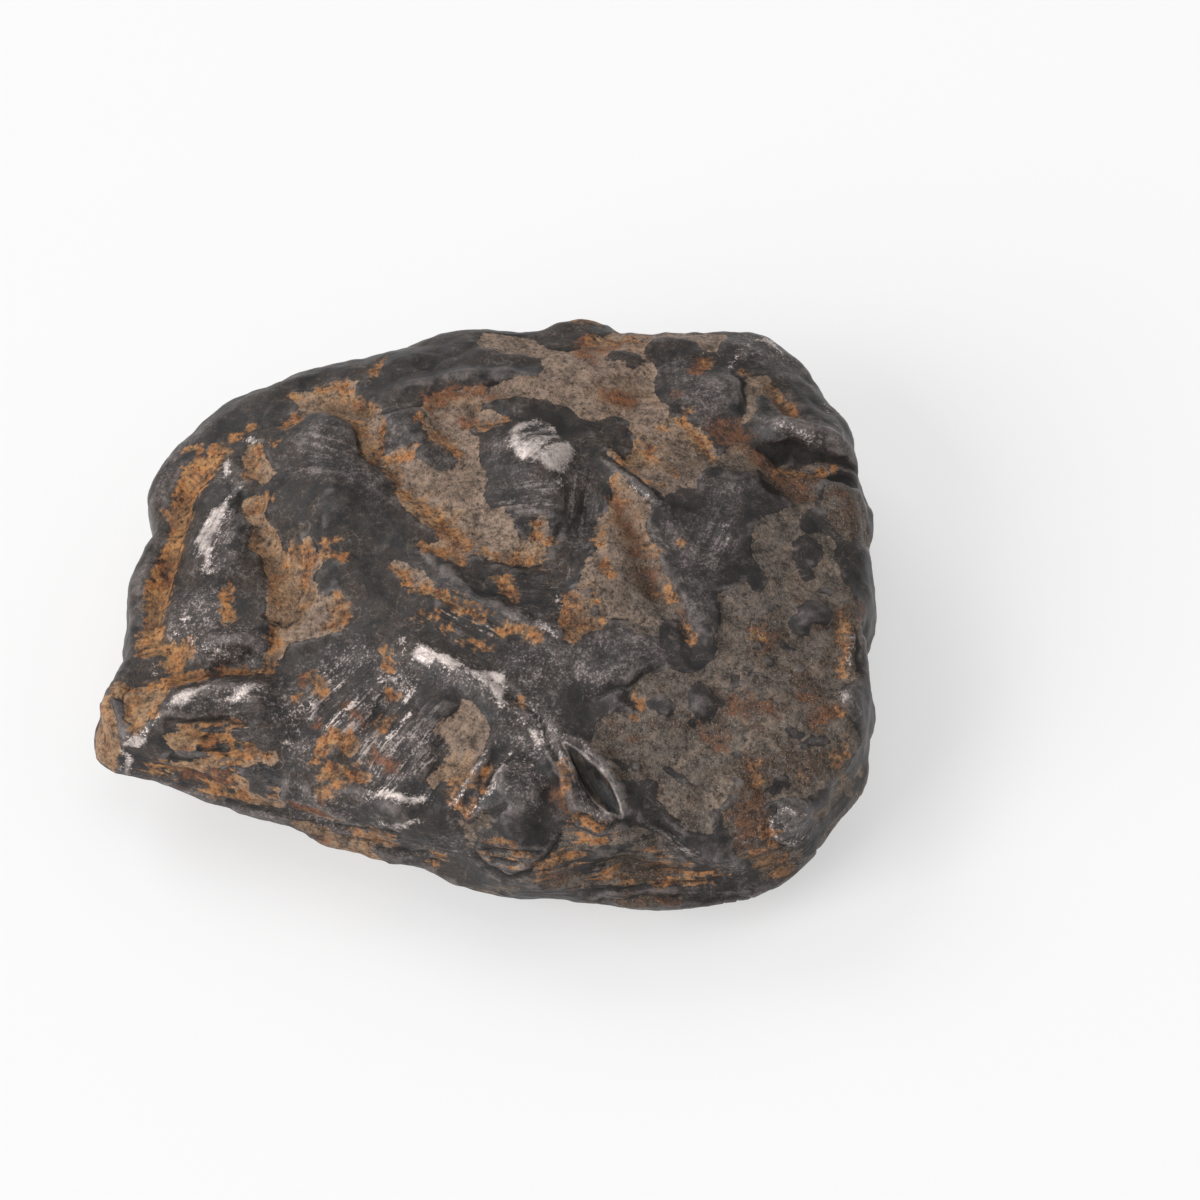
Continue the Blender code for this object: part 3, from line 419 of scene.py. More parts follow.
# Bare metal on the worn ridges, partly a painted highlight where the crests face the lamps.
TOP_METAL_AND_HIGHLIGHT = Marks(
    lines=(
        # the left shoulder
        ((-17.8, 5.2, 0.12), (-18.6, 4.2, 0.25), (-19.3, 3.0, 0.65), (-19.8, 1.4, 0.95), (-20.0, 0.2, 0.6),
         (-19.8, -1.6, 0.25)),
        ((-20.0, -2.0, 0.35), (-19.2, -2.4, 0.3)), ((-18.9, 7.5, 0.35), (-18.6, 5.8, 0.2)),
        ((-22.3, -5.4, 0.1), (-21.9, -6.4, 0.15)), ((-21.6, -5.6, 0.2), (-20.6, -5.6, 0.2)),
        ((-21.8, -6.8, 0.1), (-20.4, -7.6, 0.15), (-19.0, -8.3, 0.2), (-17.6, -8.8, 0.05)),
        ((-23.2, -9.6, 0.0), (-23.4, -8.4, 0.05)),
        # the lobe at the front left
        ((-22.2, -13.2, 0.1), (-21.3, -12.8, 0.55), (-20.1, -12.3, 0.45), (-19.2, -12.0, 0.1)),
        ((-17.6, -13.0, 0.45), (-16.8, -12.5, 0.5), (-15.6, -12.0, 0.1)),
        ((-24.6, -14.6, 0.1), (-22.6, -13.8, 0.12)),
        ((-25.4, -14.9, 0.3), (-24.2, -14.9, 0.6), (-23.7, -14.7, 0.2)),
        # striations on the front
        ((-13.8, -13.9, 0.12), (-12.2, -13.0, 0.15)), ((-13.8, -15.4, 0.3),),
        ((-11.2, -14.9, 0.15), (-9.2, -13.3, 0.15)), ((-8.8, -15.5, 0.15), (-7.6, -14.5, 0.15)),
        ((-11.4, -10.8, 0.12), (-10.2, -12.0, 0.15)), ((-7.0, -16.4, 0.1), (-5.2, -14.6, 0.1)),
        ((-6.0, -14.2, 0.1), (-5.0, -12.8, 0.18)), ((-7.6, -11.9, 0.2), (-5.4, -11.8, 0.2)),
        ((-6.0, -9.2, 0.2), (-5.6, -10.4, 0.15)),
        # spots on the crest before the fan
        ((-5.0, -10.5, 0.3), (-4.3, -10.6, 0.75), (-4.0, -10.9, 0.65)),
        ((-3.1, -11.2, 0.45), (-2.3, -11.6, 0.6)),
        ((-1.6, -12.3, 0.15), (-0.5, -12.8, 0.6), (0.6, -12.9, 0.8), (1.0, -13.9, 0.5), (1.2, -14.8, 0.2),
         (1.9, -15.4, 0.08)),
        ((2.4, -15.8, 0.1), (3.4, -16.8, 0.3), (3.8, -17.6, 0.4)),
        # ridges of the fan
        ((0.8, -17.4, 0.1), (-0.2, -18.6, 0.15), (-1.2, -20.0, 0.14), (-2.0, -21.2, 0.18)),
        ((1.8, -18.2, 0.12), (1.1, -19.6, 0.2), (0.6, -20.8, 0.18), (-0.6, -21.6, 0.16),
         (-2.0, -21.9, 0.12)),
        ((5.0, -18.4, 0.1), (5.2, -19.2, 0.28), (5.4, -19.8, 0.15)),
        ((5.6, -20.6, 0.02), (6.5, -22.0, 0.08), (8.4, -23.0, 0.1), (9.8, -22.8, 0.06)),
        ((4.3, -16.6, 0.1), (6.0, -17.3, 0.06), (7.6, -18.4, 0.02), (8.9, -19.9, 0.0)),
        ((2.2, -18.4, 0.12), (3.2, -19.4, 0.2), (4.0, -20.0, 0.15)),
        # the front crest
        ((-8.0, -19.9, 0.2), (-7.0, -20.4, 0.4), (-5.4, -20.8, 0.4), (-4.0, -20.7, 0.25)),
        # below the diagonal bands
        ((2.8, -8.2, 0.12), (3.8, -8.8, 0.25), (4.8, -9.6, 0.2)), ((5.0, -6.2, 0.15), (4.9, -7.4, 0.12)),
        ((9.9, 3.4, 0.05), (11.2, 2.3, 0.08), (12.8, 1.3, 0.05)),
        ((16.9, 1.4, 0.0), (16.7, -0.2, 0.04), (17.0, -1.4, 0.0)),
        ((25.7, -7.0, 0.12), (25.6, -9.0, 0.16), (25.4, -10.4, 0.1)),
        ((24.8, -12.8, 0.35), (24.9, -13.4, 0.3)),
        ((19.0, 9.9, 0.0), (21.4, 9.3, 0.02), (22.6, 8.9, 0.04), (23.9, 8.4, 0.04)),
        ((16.6, 17.2, 0.05), (15.2, 17.4, 0.04), (14.4, 16.6, 0.0)),
        ((17.3, 16.0, 0.0), (18.2, 17.9, 0.12), (19.2, 19.6, 0.2), (20.2, 19.8, 0.3), (21.2, 18.8, 0.3),
         (21.9, 17.8, 0.1)),
        ((18.6, 16.8, 0.0), (19.6, 18.0, 0.08)), ((24.2, 13.6, 0.0), (25.1, 11.6, 0.08), (25.6, 9.6, 0.1)),
        ((17.2, 15.6, 0.2), (17.6, 16.2, 0.15)), ((19.2, -22.3, 0.18),),
        # around the bare hump
        ((2.2, 5.0, 0.3), (2.6, 4.5, 0.15)), ((4.5, 5.2, 0.2), (5.0, 3.4, 0.16), (4.9, 2.2, 0.1)),
    ),
    outlines=(
        ((1.5, 7.8), (2.4, 8.9), (3.6, 9.1), (4.5, 8.6), (5.2, 7.6), (6.0, 6.4), (6.1, 5.6), (5.6, 4.6),
         (4.9, 3.5), (4.1, 3.4), (3.5, 4.0), (2.8, 4.4), (1.9, 5.1), (1.4, 6.3)),
        ((-17.9, 9.2), (-16.8, 9.7), (-16.5, 8.9), (-17.0, 8.7)),
    ),
    spared_ovals=(
        (3.2, 7.8, 0.7, 0.22, 45), (4.9, 6.6, 0.6, 0.15, 50), (3.9, 7.3, 0.5, 0.1, 45),
    ),
)
# Frosted metal, partly a painted sheen on the ridges.
TOP_FROST_AND_SHEEN = Marks(
    lines=(
        ((5.0, -18.6, 0.3), (6.0, -20.6, 0.4), (7.2, -22.2, 0.4), (8.8, -23.2, 0.3)),
        ((-22.4, -5.6, 0.7), (-21.0, -7.0, 0.9), (-18.6, -8.2, 0.7), (-16.4, -9.0, 0.3)),
        ((-21.6, -13.0, 0.7), (-19.4, -12.2, 1.3), (-17.0, -12.4, 1.3), (-14.6, -11.8, 0.8)),
    ),
    ovals=(
        (3.4, -17.2, 2.0, 1.7, -30), (-18.4, 0.4, 2.0, 3.0, -10), (-20.4, -5.2, 2.4, 2.0, 0),
        (-18.0, -7.6, 2.6, 1.2, -10), (-17.4, -12.6, 3.2, 1.3, 15), (-12.6, -14.6, 2.2, 3.0, 30),
        (-11.2, -11.6, 2.2, 1.6, -30), (-9.4, -14.6, 2.0, 2.6, 40), (-6.4, -12.0, 2.2, 2.2, 20),
        (-6.0, -17.4, 3.0, 2.4, 20), (-11.6, -19.2, 2.6, 0.8, -20), (-1.0, -12.6, 3.2, 1.2, -25),
        (3.4, -11.8, 2.4, 2.0, -30), (2.8, -15.6, 2.0, 2.0, 0), (2.6, -20.2, 1.6, 2.0, 0),
        (6.2, -19.4, 3.0, 1.4, -60), (3.6, -8.4, 2.0, 1.0, -30), (6.4, 2.6, 1.2, 3.2, 0),
        (6.2, -1.2, 1.4, 1.4, 0), (14.4, -1.6, 2.8, 3.0, 0), (16.8, 0.4, 0.9, 2.6, 0),
        (14.8, -6.6, 1.0, 2.4, -20), (15.2, 12.8, 2.6, 3.2, 0), (13.2, 15.6, 1.4, 1.2, 0),
        (20.4, 10.6, 1.6, 1.8, 0), (20.0, 18.2, 3.0, 2.2, -30), (17.4, 3.8, 1.8, 1.2, 20),
        (-12.0, 7.6, 2.6, 2.2, 0), (-12.6, 5.6, 2.4, 0.9, -20), (-18.8, 6.4, 1.0, 1.6, 0),
        (-6.6, 8.6, 1.0, 1.8, 0), (-3.6, 5.6, 1.2, 0.8, -30), (-9.4, -9.8, 2.0, 1.4, 0),
        (-8.8, 4.2, 1.2, 2.4, 30), (21.2, -21.3, 1.5, 1.2, 20), (25.0, -13.2, 1.0, 1.6, 0),
        (23.4, 9.6, 2.2, 1.2, -20), (-23.4, 8.6, 0.8, 2.4, -10), (0.8, 6.4, 1.4, 1.6, 0),
        (-21.6, 11.4, 1.4, 1.0, 30),
    ),
    spared_ovals=(
        (7.4, -20.0, 2.5, 1.0, -62),
    ),
    outlines=(
        ((5.8, -10.0), (7.4, -9.2), (9.2, -9.0), (11.2, -9.4), (12.4, -9.8), (12.4, -11.0), (11.8, -11.8),
         (10.4, -12.4), (9.6, -13.2), (8.0, -13.8), (6.6, -14.0), (5.6, -12.8), (5.4, -11.4)),
        ((-0.2, 4.0), (2.2, 4.0), (4.2, 4.4), (4.9, 3.4), (5.0, 2.0), (4.6, 0.6), (3.6, 0.2), (2.0, 0.4),
         (0.8, 1.0), (0.0, 1.6), (0.0, 2.8)),
    ),
)
# Creases, darkened in the finish with painted shade, partly dark cracks.
TOP_CREASE = Marks(
    lines=(
        ((0.4, -12.8, 0.06), (2.0, -14.2, 0.1), (3.6, -15.5, 0.1), (4.2, -17.2, 0.1), (4.9, -19.0, 0.12)),
        ((0.0, -3.1, 0.05), (2.0, -3.5, 0.1), (5.2, -3.4, 0.06)),
        ((8.3, 6.0, 0.1), (9.5, 4.6, 0.14), (11.0, 3.3, 0.12), (12.4, 2.2, 0.06)),
        ((8.6, 7.0, 0.1), (9.8, 6.3, 0.12)), ((8.6, 3.2, 0.14), (8.8, 2.4, 0.1)),
        ((7.0, -14.0, 0.06), (8.6, -13.4, 0.1), (9.9, -13.2, 0.12), (10.9, -12.3, 0.1),
         (12.0, -11.8, 0.08)),
        ((9.9, -14.2, 0.14), (9.8, -13.4, 0.1)), ((8.3, -7.7, 0.06), (9.9, -7.7, 0.08)),
        ((12.4, -7.6, 0.06), (13.4, -7.7, 0.08), (14.0, -9.2, 0.06)),
        ((18.4, 14.4, 0.16), (18.3, 12.6, 0.14), (18.3, 10.9, 0.1)),
        ((17.4, 15.0, 0.06), (18.2, 14.2, 0.12)),
        # the painted shadow under the overhanging ledge at the back right
        ((19.2, 8.2, 0.2), (20.6, 7.9, 0.55), (21.6, 8.4, 0.3), (22.6, 8.0, 0.4), (24.6, 7.9, 0.2),
         (26.2, 8.1, 0.12)),
        ((24.4, 6.6, 0.35), (25.8, 6.8, 0.5), (26.8, 7.2, 0.3)),
        ((-25.0, -10.6, 0.08), (-25.3, -12.0, 0.06)),
        ((-22.0, -14.1, 0.06), (-19.0, -14.2, 0.1), (-16.6, -14.1, 0.06)),
        ((-21.4, -15.4, 0.08), (-18.4, -15.3, 0.08), (-15.4, -15.2, 0.05)),
        ((-21.0, -11.6, 0.08), (-19.2, -11.0, 0.08)), ((-17.6, 4.4, 0.1), (-18.0, 3.0, 0.12)),
        ((-9.6, 9.0, 0.1), (-9.3, 7.2, 0.1), (-8.9, 6.6, 0.06)), ((-14.0, -6.2, 0.08), (-13.3, -6.0, 0.1)),
        ((-15.7, -5.8, 0.06), (-14.4, -6.2, 0.06)), ((1.3, -22.0, 0.05), (0.0, -22.1, 0.06)),
        ((5.2, -0.4, 0.06), (4.6, -1.6, 0.06)),
        ((6.0, -22.6, 0.06), (8.6, -22.9, 0.08), (10.2, -22.4, 0.08)),
        ((4.5, -20.4, 0.15), (4.8, -20.7, 0.2)), ((11.9, -22.2, 0.1), (13.2, -22.8, 0.08)),
        ((-7.4, 10.2, 0.06), (-5.4, 10.5, 0.08), (-4.8, 10.9, 0.06)),
        ((4.2, 17.6, 0.06), (5.4, 17.4, 0.12), (6.4, 17.6, 0.08)), ((25.9, -6.6, 0.1), (26.0, -10.6, 0.1)),
    ),
)
TOP_STAIN = Marks(
    ovals=(
        (-22.6, 3.0, 1.8, 7.0, 5), (-23.4, -9.0, 3.0, 2.4, 20), (-19.0, -15.4, 4.4, 1.6, 0),
        (-10.0, -17.4, 2.6, 2.0, 0), (-14.6, -2.6, 2.6, 4.0, 20), (-17.0, 7.4, 1.2, 2.4, 0),
        (-11.0, 12.4, 3.6, 1.6, -20), (-3.4, 11.4, 3.0, 1.4, 0), (-4.0, 0.6, 3.6, 2.2, -40),
        (-9.0, 7.4, 1.6, 3.0, 20), (3.4, -2.6, 3.0, 1.2, 0), (10.0, 0.0, 1.4, 4.4, 18),
        (11.0, 6.6, 3.0, 1.6, -20), (14.6, 8.2, 1.6, 2.0, 0), (9.0, 12.4, 2.4, 1.6, 0),
        (8.0, 18.4, 3.0, 1.4, 0), (6.8, 21.8, 3.0, 1.0, 0), (17.6, 8.8, 2.4, 1.6, -30),
        (22.4, 5.8, 2.4, 2.0, 0), (25.6, 3.4, 1.6, 3.0, 0), (21.0, 12.8, 2.0, 2.6, 30),
        (19.4, -9.2, 1.6, 1.2, 0), (17.8, -14.4, 2.6, 1.2, 0), (23.2, -14.6, 2.2, 1.8, 0),
        (24.8, -8.6, 0.9, 3.2, 0), (18.0, -20.4, 2.2, 2.6, 0), (22.2, -18.6, 2.0, 1.2, -40),
        (9.0, -17.6, 2.0, 2.0, 0), (12.6, -12.9, 1.6, 0.6, 0), (5.2, -21.0, 1.4, 1.6, 0),
        (6.6, -7.6, 1.6, 2.2, 0), (11.4, -4.4, 1.4, 3.0, 20), (-1.8, -19.4, 1.6, 1.4, 0),
    ),
)
TOP_MARKS: dict[Mark, Marks] = {
    Mark.CRUST: TOP_CRUST,
    Mark.RUST: TOP_RUST,
    Mark.EMBER: TOP_EMBER,
    Mark.METAL: TOP_METAL_AND_HIGHLIGHT,
    Mark.FROST_AND_SHEEN: TOP_FROST_AND_SHEEN,
    Mark.CREASE: TOP_CREASE,
    Mark.STAIN: TOP_STAIN,
}

# The front wall and the layers over it are drawn on a plane tilted back by WALL_TILT degrees:
# x to the right, and up the plane. WALL bounds what is drawn there.
WALL_TILT = 51.73
WALL: Outline = (
    (-28.6, -6.2), (-28.6, -0.8), (-26.4, -1.0), (-25.6, -3.4), (-25.4, -5.2), (-24.5, -5.6), (-22.8, -4.0),
    (-14.6, -4.0), (-14.2, -8.6), (-13.6, -9.8), (-11.0, -10.3), (-8.5, -10.0), (-4.0, -9.9), (-2.6, -9.4),
    (-1.7, -9.6), (-0.6, -10.8), (4.8, -10.6), (5.3, -10.2), (6.0, -10.0), (7.6, -10.8), (9.6, -10.3),
    (10.4, -10.0), (12.2, -10.8), (13.2, -11.6), (15.4, -12.4), (16.4, -12.0), (17.0, -9.4), (19.2, -8.9),
    (20.9, -8.6), (22.4, -9.5), (22.9, -13.0), (22.4, -18.0), (-6.0, -19.0), (-28.4, -14.0),
)
WALL_CRUST = Marks(
    lines=(
        ((-22.2, -6.8, 0.3), (-20.2, -6.2, 0.35), (-18.7, -6.3, 0.3)),
        ((-16.9, -6.0, 0.3), (-14.9, -5.7, 0.3)),
        ((-17.4, -7.2, 0.4), (-17.0, -8.4, 0.5), (-15.6, -9.0, 0.5), (-14.2, -9.0, 0.6)),
        ((-14.4, -8.2, 0.4),),
        ((-13.5, -10.7, 0.3), (-11.4, -11.4, 0.45), (-9.1, -12.6, 0.5), (-6.1, -13.8, 0.5),
         (-3.8, -14.7, 0.3)),
        ((-9.6, -11.6, 0.3), (-8.4, -12.2, 0.3)),
        ((-3.9, -14.6, 0.2), (-1.6, -15.2, 0.25), (1.6, -15.0, 0.25), (2.4, -14.6, 0.3)),
        ((-1.4, -9.8, 0.5), (-0.9, -11.4, 0.45)),
        ((-0.4, -12.1, 0.2), (1.3, -12.5, 0.22), (3.6, -12.6, 0.12)),
        ((7.4, -15.6, 0.12), (10.4, -15.8, 0.15), (13.6, -15.7, 0.1)),
    ),
    outlines=(
        ((-22.6, -4.5), (-21.9, -4.2), (-20.4, -4.2), (-20.4, -5.2), (-21.6, -5.5)),
        ((-28.4, -5.6), (-28.3, -2.0), (-27.0, -1.1), (-26.2, -2.3), (-25.7, -3.6), (-25.5, -5.0),
         (-26.1, -6.7), (-27.4, -7.4)),
        ((5.2, -10.3), (6.4, -10.4), (7.8, -11.0), (9.4, -10.6), (10.3, -10.4), (12.0, -10.9),
         (12.4, -11.8), (13.0, -12.6), (13.6, -13.3), (15.0, -13.3), (16.2, -13.4), (16.2, -13.9),
         (14.0, -14.1), (12.0, -14.3), (9.6, -14.4), (7.2, -14.9), (5.6, -14.7), (3.9, -14.6), (2.9, -13.9),
         (4.2, -13.0), (4.9, -12.0), (5.2, -11.0)),
        ((16.9, -9.6), (18.9, -9.3), (19.4, -10.2), (19.6, -11.4), (20.8, -12.1), (21.6, -12.4),
         (21.4, -13.4), (20.6, -14.1), (19.4, -14.3), (18.6, -13.6), (17.8, -12.6), (17.0, -11.8)),
    ),
    spared_ovals=(
        (8.3, -12.3, 2.3, 0.5, 25), (5.2, -13.3, 0.9, 0.25, 15), (7.4, -13.7, 0.9, 0.22, 20),
        (15.0, -13.5, 0.9, 0.3, -10), (-16.0, -7.4, 0.6, 0.9, 0), (11.6, -12.8, 0.25, 0.2, 0),
    ),
)
WALL_RUST = Marks(
    lines=(
        ((-20.2, -4.4, 0.25), (-18.6, -4.8, 0.3)), ((-17.9, -4.3, 0.15), (-16.9, -4.2, 0.15)),
        ((-17.6, -5.0, 0.2), (-15.6, -4.6, 0.2)),
        ((-18.5, -5.8, 0.3), (-17.2, -5.6, 0.25), (-15.6, -5.3, 0.25)),
        ((-23.4, -6.9, 0.4), (-22.7, -6.8, 0.4)), ((-17.9, -6.2, 0.2), (-17.8, -7.4, 0.3)),
        ((-19.2, -7.8, 0.35), (-18.4, -8.2, 0.35)), ((-14.8, -8.0, 0.2), (-14.6, -8.7, 0.2)),
        ((-17.3, -8.4, 0.25), (-16.6, -9.0, 0.2)),
        ((-9.0, -11.0, 0.12), (-8.0, -11.2, 0.25), (-6.9, -11.5, 0.15)), ((-3.3, -12.8, 0.22),),
        ((-4.9, -14.2, 0.2),), ((-0.1, -11.4, 0.18), (0.8, -11.3, 0.18)), ((2.0, -11.3, 0.18),),
        ((0.0, -12.2, 0.1), (2.2, -12.6, 0.12)), ((6.0, -10.5, 0.25), (7.2, -10.9, 0.3)),
        ((3.8, -13.6, 0.25), (5.6, -12.1, 0.3), (6.9, -11.8, 0.3), (8.4, -11.2, 0.2)),
        ((11.5, -12.0, 0.3), (12.2, -12.3, 0.25)), ((12.0, -13.3, 0.2), (13.5, -13.7, 0.2)),
        ((12.2, -14.0, 0.12), (14.1, -13.8, 0.16), (16.0, -13.6, 0.15)), ((8.8, -13.7, 0.28),),
        ((7.2, -14.4, 0.12), (9.4, -14.0, 0.15)),
        ((18.8, -12.6, 0.4), (19.8, -13.0, 0.55), (20.4, -13.5, 0.4)),
        ((19.4, -11.0, 0.15), (19.8, -11.8, 0.2)),
    ),
)
WALL_EMBER = Marks(
    lines=(
        ((-20.8, -7.0, 0.5), (-19.4, -7.4, 0.6), (-18.4, -7.4, 0.4)),
        ((-11.7, -12.0, 0.25), (-8.4, -13.3, 0.3), (-6.0, -14.4, 0.2)),
        ((17.4, -10.0, 0.7), (18.4, -10.4, 0.9), (17.8, -11.6, 0.5)),
        ((4.4, -14.0, 0.3), (6.0, -14.3, 0.3)), ((9.6, -15.8, 0.25), (13.0, -15.9, 0.2)),
        ((20.9, -13.2, 0.4),),
    ),
)
# Bare metal on the front, partly a painted highlight.
WALL_METAL_AND_HIGHLIGHT = Marks(
    lines=(
        ((-25.4, -5.2, 0.2), (-24.9, -6.0, 0.45), (-25.3, -6.9, 0.35)),
        ((21.9, -9.5, 0.12), (20.9, -9.1, 0.14), (20.0, -9.5, 0.17), (19.7, -10.4, 0.18),
         (20.1, -11.3, 0.18), (21.0, -11.7, 0.14), (21.9, -11.2, 0.12)),
        ((-7.8, -10.0, 0.3), (-5.4, -10.1, 0.4), (-4.4, -9.9, 0.25)),
    ),
)
# Frosted metal on the front, partly a painted sheen.
WALL_FROST_AND_SHEEN = Marks(
    lines=(
        ((-0.9, -12.0, 0.12), (-0.2, -13.1, 0.15), (1.3, -13.8, 0.15), (2.9, -13.4, 0.15),
         (4.0, -12.3, 0.15), (5.0, -10.7, 0.2)),
        ((12.2, -11.0, 0.15), (13.0, -11.7, 0.2), (15.2, -12.5, 0.2), (16.2, -13.1, 0.15)),
        ((14.1, -15.35, 0.12), (16.8, -15.4, 0.12), (18.9, -15.2, 0.15), (20.0, -14.6, 0.2)),
        ((-23.0, -7.8, 0.3), (-19.4, -8.6, 0.2)), ((-17.6, -9.6, 0.35), (-14.0, -10.6, 0.3)),
    ),
    ovals=(
        (-9.0, -11.0, 4.0, 0.8, -15), (20.9, -10.4, 1.2, 1.2, 0), (-3.0, -12.0, 1.2, 0.8, 0),
        (16.6, -13.4, 1.6, 0.6, -20),
    ),
)
# Creases on the front, darkened with painted shade, partly dark cracks.
WALL_CREASE = Marks(
    lines=(
        ((-0.8, -12.3, 0.06), (-0.1, -13.4, 0.1), (1.3, -14.1, 0.12), (3.0, -13.7, 0.1), (4.2, -12.5, 0.08),
         (5.2, -10.9, 0.06)),
        ((0.2, -12.0, 0.04), (2.0, -12.2, 0.06), (3.6, -12.2, 0.04)),
        ((0.4, -12.8, 0.06), (2.2, -13.0, 0.08)),
        ((7.0, -15.1, 0.05), (11.0, -14.6, 0.06), (16.2, -14.2, 0.06)),
        ((8.0, -15.6, 0.05), (12.0, -15.5, 0.06), (18.6, -15.6, 0.05)),
        ((9.9, -10.2, 0.08), (11.0, -10.3, 0.1)),
        ((-20.0, -5.1, 0.05), (-18.0, -5.3, 0.06), (-16.0, -4.9, 0.05)),
        ((-22.0, -5.9, 0.06), (-19.0, -5.9, 0.05)),
        ((-18.0, -9.0, 0.05), (-12.0, -10.4, 0.06), (-6.0, -11.0, 0.06)),
        ((-12.0, -11.0, 0.04), (-7.0, -12.2, 0.05), (-4.0, -12.4, 0.04)),
        ((19.8, -9.2, 0.05), (19.4, -10.4, 0.06), (19.8, -11.6, 0.08), (21.0, -12.0, 0.06)),
    ),
)
WALL_STAIN = Marks(
    ovals=(
        (-19.5, -7.4, 2.4, 0.9, -20), (-9.0, -12.6, 5.0, 0.8, -24), (6.0, -13.2, 3.4, 1.2, 20),
        (12.0, -12.8, 2.4, 1.4, 0), (18.4, -10.8, 2.0, 2.0, 0), (20.0, -13.2, 1.6, 1.2, 0),
        (0.0, -14.8, 3.0, 0.5, 0), (11.0, -15.8, 5.0, 0.4, 0),
    ),
)
WALL_MARKS: dict[Mark, Marks] = {
    Mark.CRUST: WALL_CRUST,
    Mark.RUST: WALL_RUST,
    Mark.EMBER: WALL_EMBER,
    Mark.METAL: WALL_METAL_AND_HIGHLIGHT,
    Mark.FROST_AND_SHEEN: WALL_FROST_AND_SHEEN,
    Mark.CREASE: WALL_CREASE,
    Mark.STAIN: WALL_STAIN,
}

# Places where the surface is combed into fine parallel striations: x, y, how far they reach,
# the way they run in degrees, and how strong they are.
COMBED = (
    (-5.6, -16.4, 5.0, 48.0, 1.0), (-10.0, -13.6, 4.0, 42.0, 0.8), (2.6, 1.6, 3.2, 2.0, 1.0),
    (3.2, 5.6, 2.2, 48.0, 0.6), (2.6, -5.0, 4.4, -4.0, 0.7), (-1.0, -8.0, 5.0, -32.0, 0.6),
    (-17.0, -15.4, 4.0, 4.0, 0.8), (-12.0, 6.4, 3.6, -22.0, 0.5), (-19.6, 0.6, 4.0, 72.0, 0.5),
    (6.6, -20.4, 3.4, -62.0, 0.6), (6.6, 1.6, 3.6, 84.0, 0.5), (16.0, -1.0, 4.0, 70.0, 0.4),
    (13.6, -22.6, 4.0, -20.0, 0.5),
)

# The leaf-shaped hollow at the front, seen from above.
LEAF: Outline = (
    (5.3, -17.6), (6.4, -18.1), (7.6, -19.0), (8.6, -20.3), (9.2, -21.6), (9.5, -22.6), (8.4, -22.4),
    (7.4, -21.4), (6.5, -20.3), (5.8, -19.0),
)


def place(name: str, data: Any) -> bpy.types.Object:
    """Puts an object with this mesh, lamp or camera into the scene."""
    placed = bpy.data.objects.new(name, data)
    bpy.context.scene.collection.objects.link(placed)
    return placed


class Skin:
    """A mesh as arrays in millimetres, with what its neighbouring points give."""

    def __init__(self, mesh: bpy.types.Mesh) -> None:
        """Reads the mesh's points and edges."""
        self.mesh = mesh
        self.count = len(mesh.vertices)
        self.points = self._read(mesh.vertices, "co", np.float32, 3).astype(float)
        self.ends = self._read(mesh.edges, "vertices", np.int32, 2)
        self.degree = np.bincount(self.ends.ravel(), minlength=self.count).astype(float)

    @staticmethod
    def _read(items: Any, field: str, kind: type, width: int) -> Array:
        """One field of a mesh's points or edges as an array."""
        values = np.empty(len(items) * width, kind)
        items.foreach_get(field, values)
        return values.reshape(-1, width)

    def normals(self) -> Array:
        """The way that each point of the surface faces."""
        self.mesh.vertices.foreach_set("co", self.points.astype(np.float32).ravel())
        self.mesh.update()
        return self._read(self.mesh.vertex_normals, "vector", np.float32, 3).astype(float)

    def neighbour_mean(self, values: Array) -> Array:
        """The mean of each point's neighbours."""
        first, second = self.ends.T
        mean = np.empty_like(values)
        for k in range(values.shape[1]):
            column = values[:, k]
            total = np.bincount(first, column[second], self.count)
            total += np.bincount(second, column[first], self.count)
            mean[:, k] = total / self.degree
        return mean

    def blurred(self, values: Array, rounds: int) -> Array:
        """The values after some rounds of going halfway to the neighbours' mean."""
        for _ in range(rounds):
            values = values + STEP_IN * (self.neighbour_mean(values) - values)
        return values

    def even_out(self, rounds: int) -> None:
        """Rounds off the facets and keeps the volume, as each step in has its step out."""
        for _ in range(rounds):
            for share in (STEP_IN, -STEP_OUT):
                toward = self.neighbour_mean(self.points) - self.points
                self.points = self.points + share * toward

    def keep_within(self, low: Array, high: Array) -> None:
        """Keeps every point inside a box."""
        self.points = np.clip(self.points, low, high)

    def write(self, name: str, values: Array) -> None:
        """Stores one number, or one vector, for each point."""
        kind, field = ("FLOAT", "value") if values.ndim == 1 else ("FLOAT_VECTOR", "vector")
        store = self.mesh.attributes.new(name, kind, "POINT")
        store.data.foreach_set(field, values.astype(np.float32).ravel())

    def write_shape(self, name: str, rounds: int) -> None:
        """Stores how far each point stands out from its blurred surroundings."""
        away = self.points - self.blurred(self.points, rounds)
        self.write(name, np.einsum("ij,ij->i", away, self.normals()))


@dataclass(frozen=True)
class Rough:
    """Natural unevenness, the same on every run.

    It has the width of its largest forms in millimetres, how many times it gains finer forms, and
    where in the endless pattern it is taken.
    """

    size: float
    octaves: int
    seed: float

    def at(self, points: Array) -> Array:
        """One number between about -1 and 1 for each place."""
        spots = points / self.size + self.seed
        return np.array([noise.fractal(Vector(spot), 1.0, 2.0, self.octaves) for spot in spots])


@dataclass(frozen=True)
class Wild:
    """How a kind of mark spreads by itself: its pattern, how steep it is and where it starts."""

    pattern: Rough
    slope: float
    start: float

    def cover(self, points: Array) -> Array:
        """About how far inside the marks each place lies, in millimetres."""
        return self.slope * (self.pattern.at(points) - self.start)


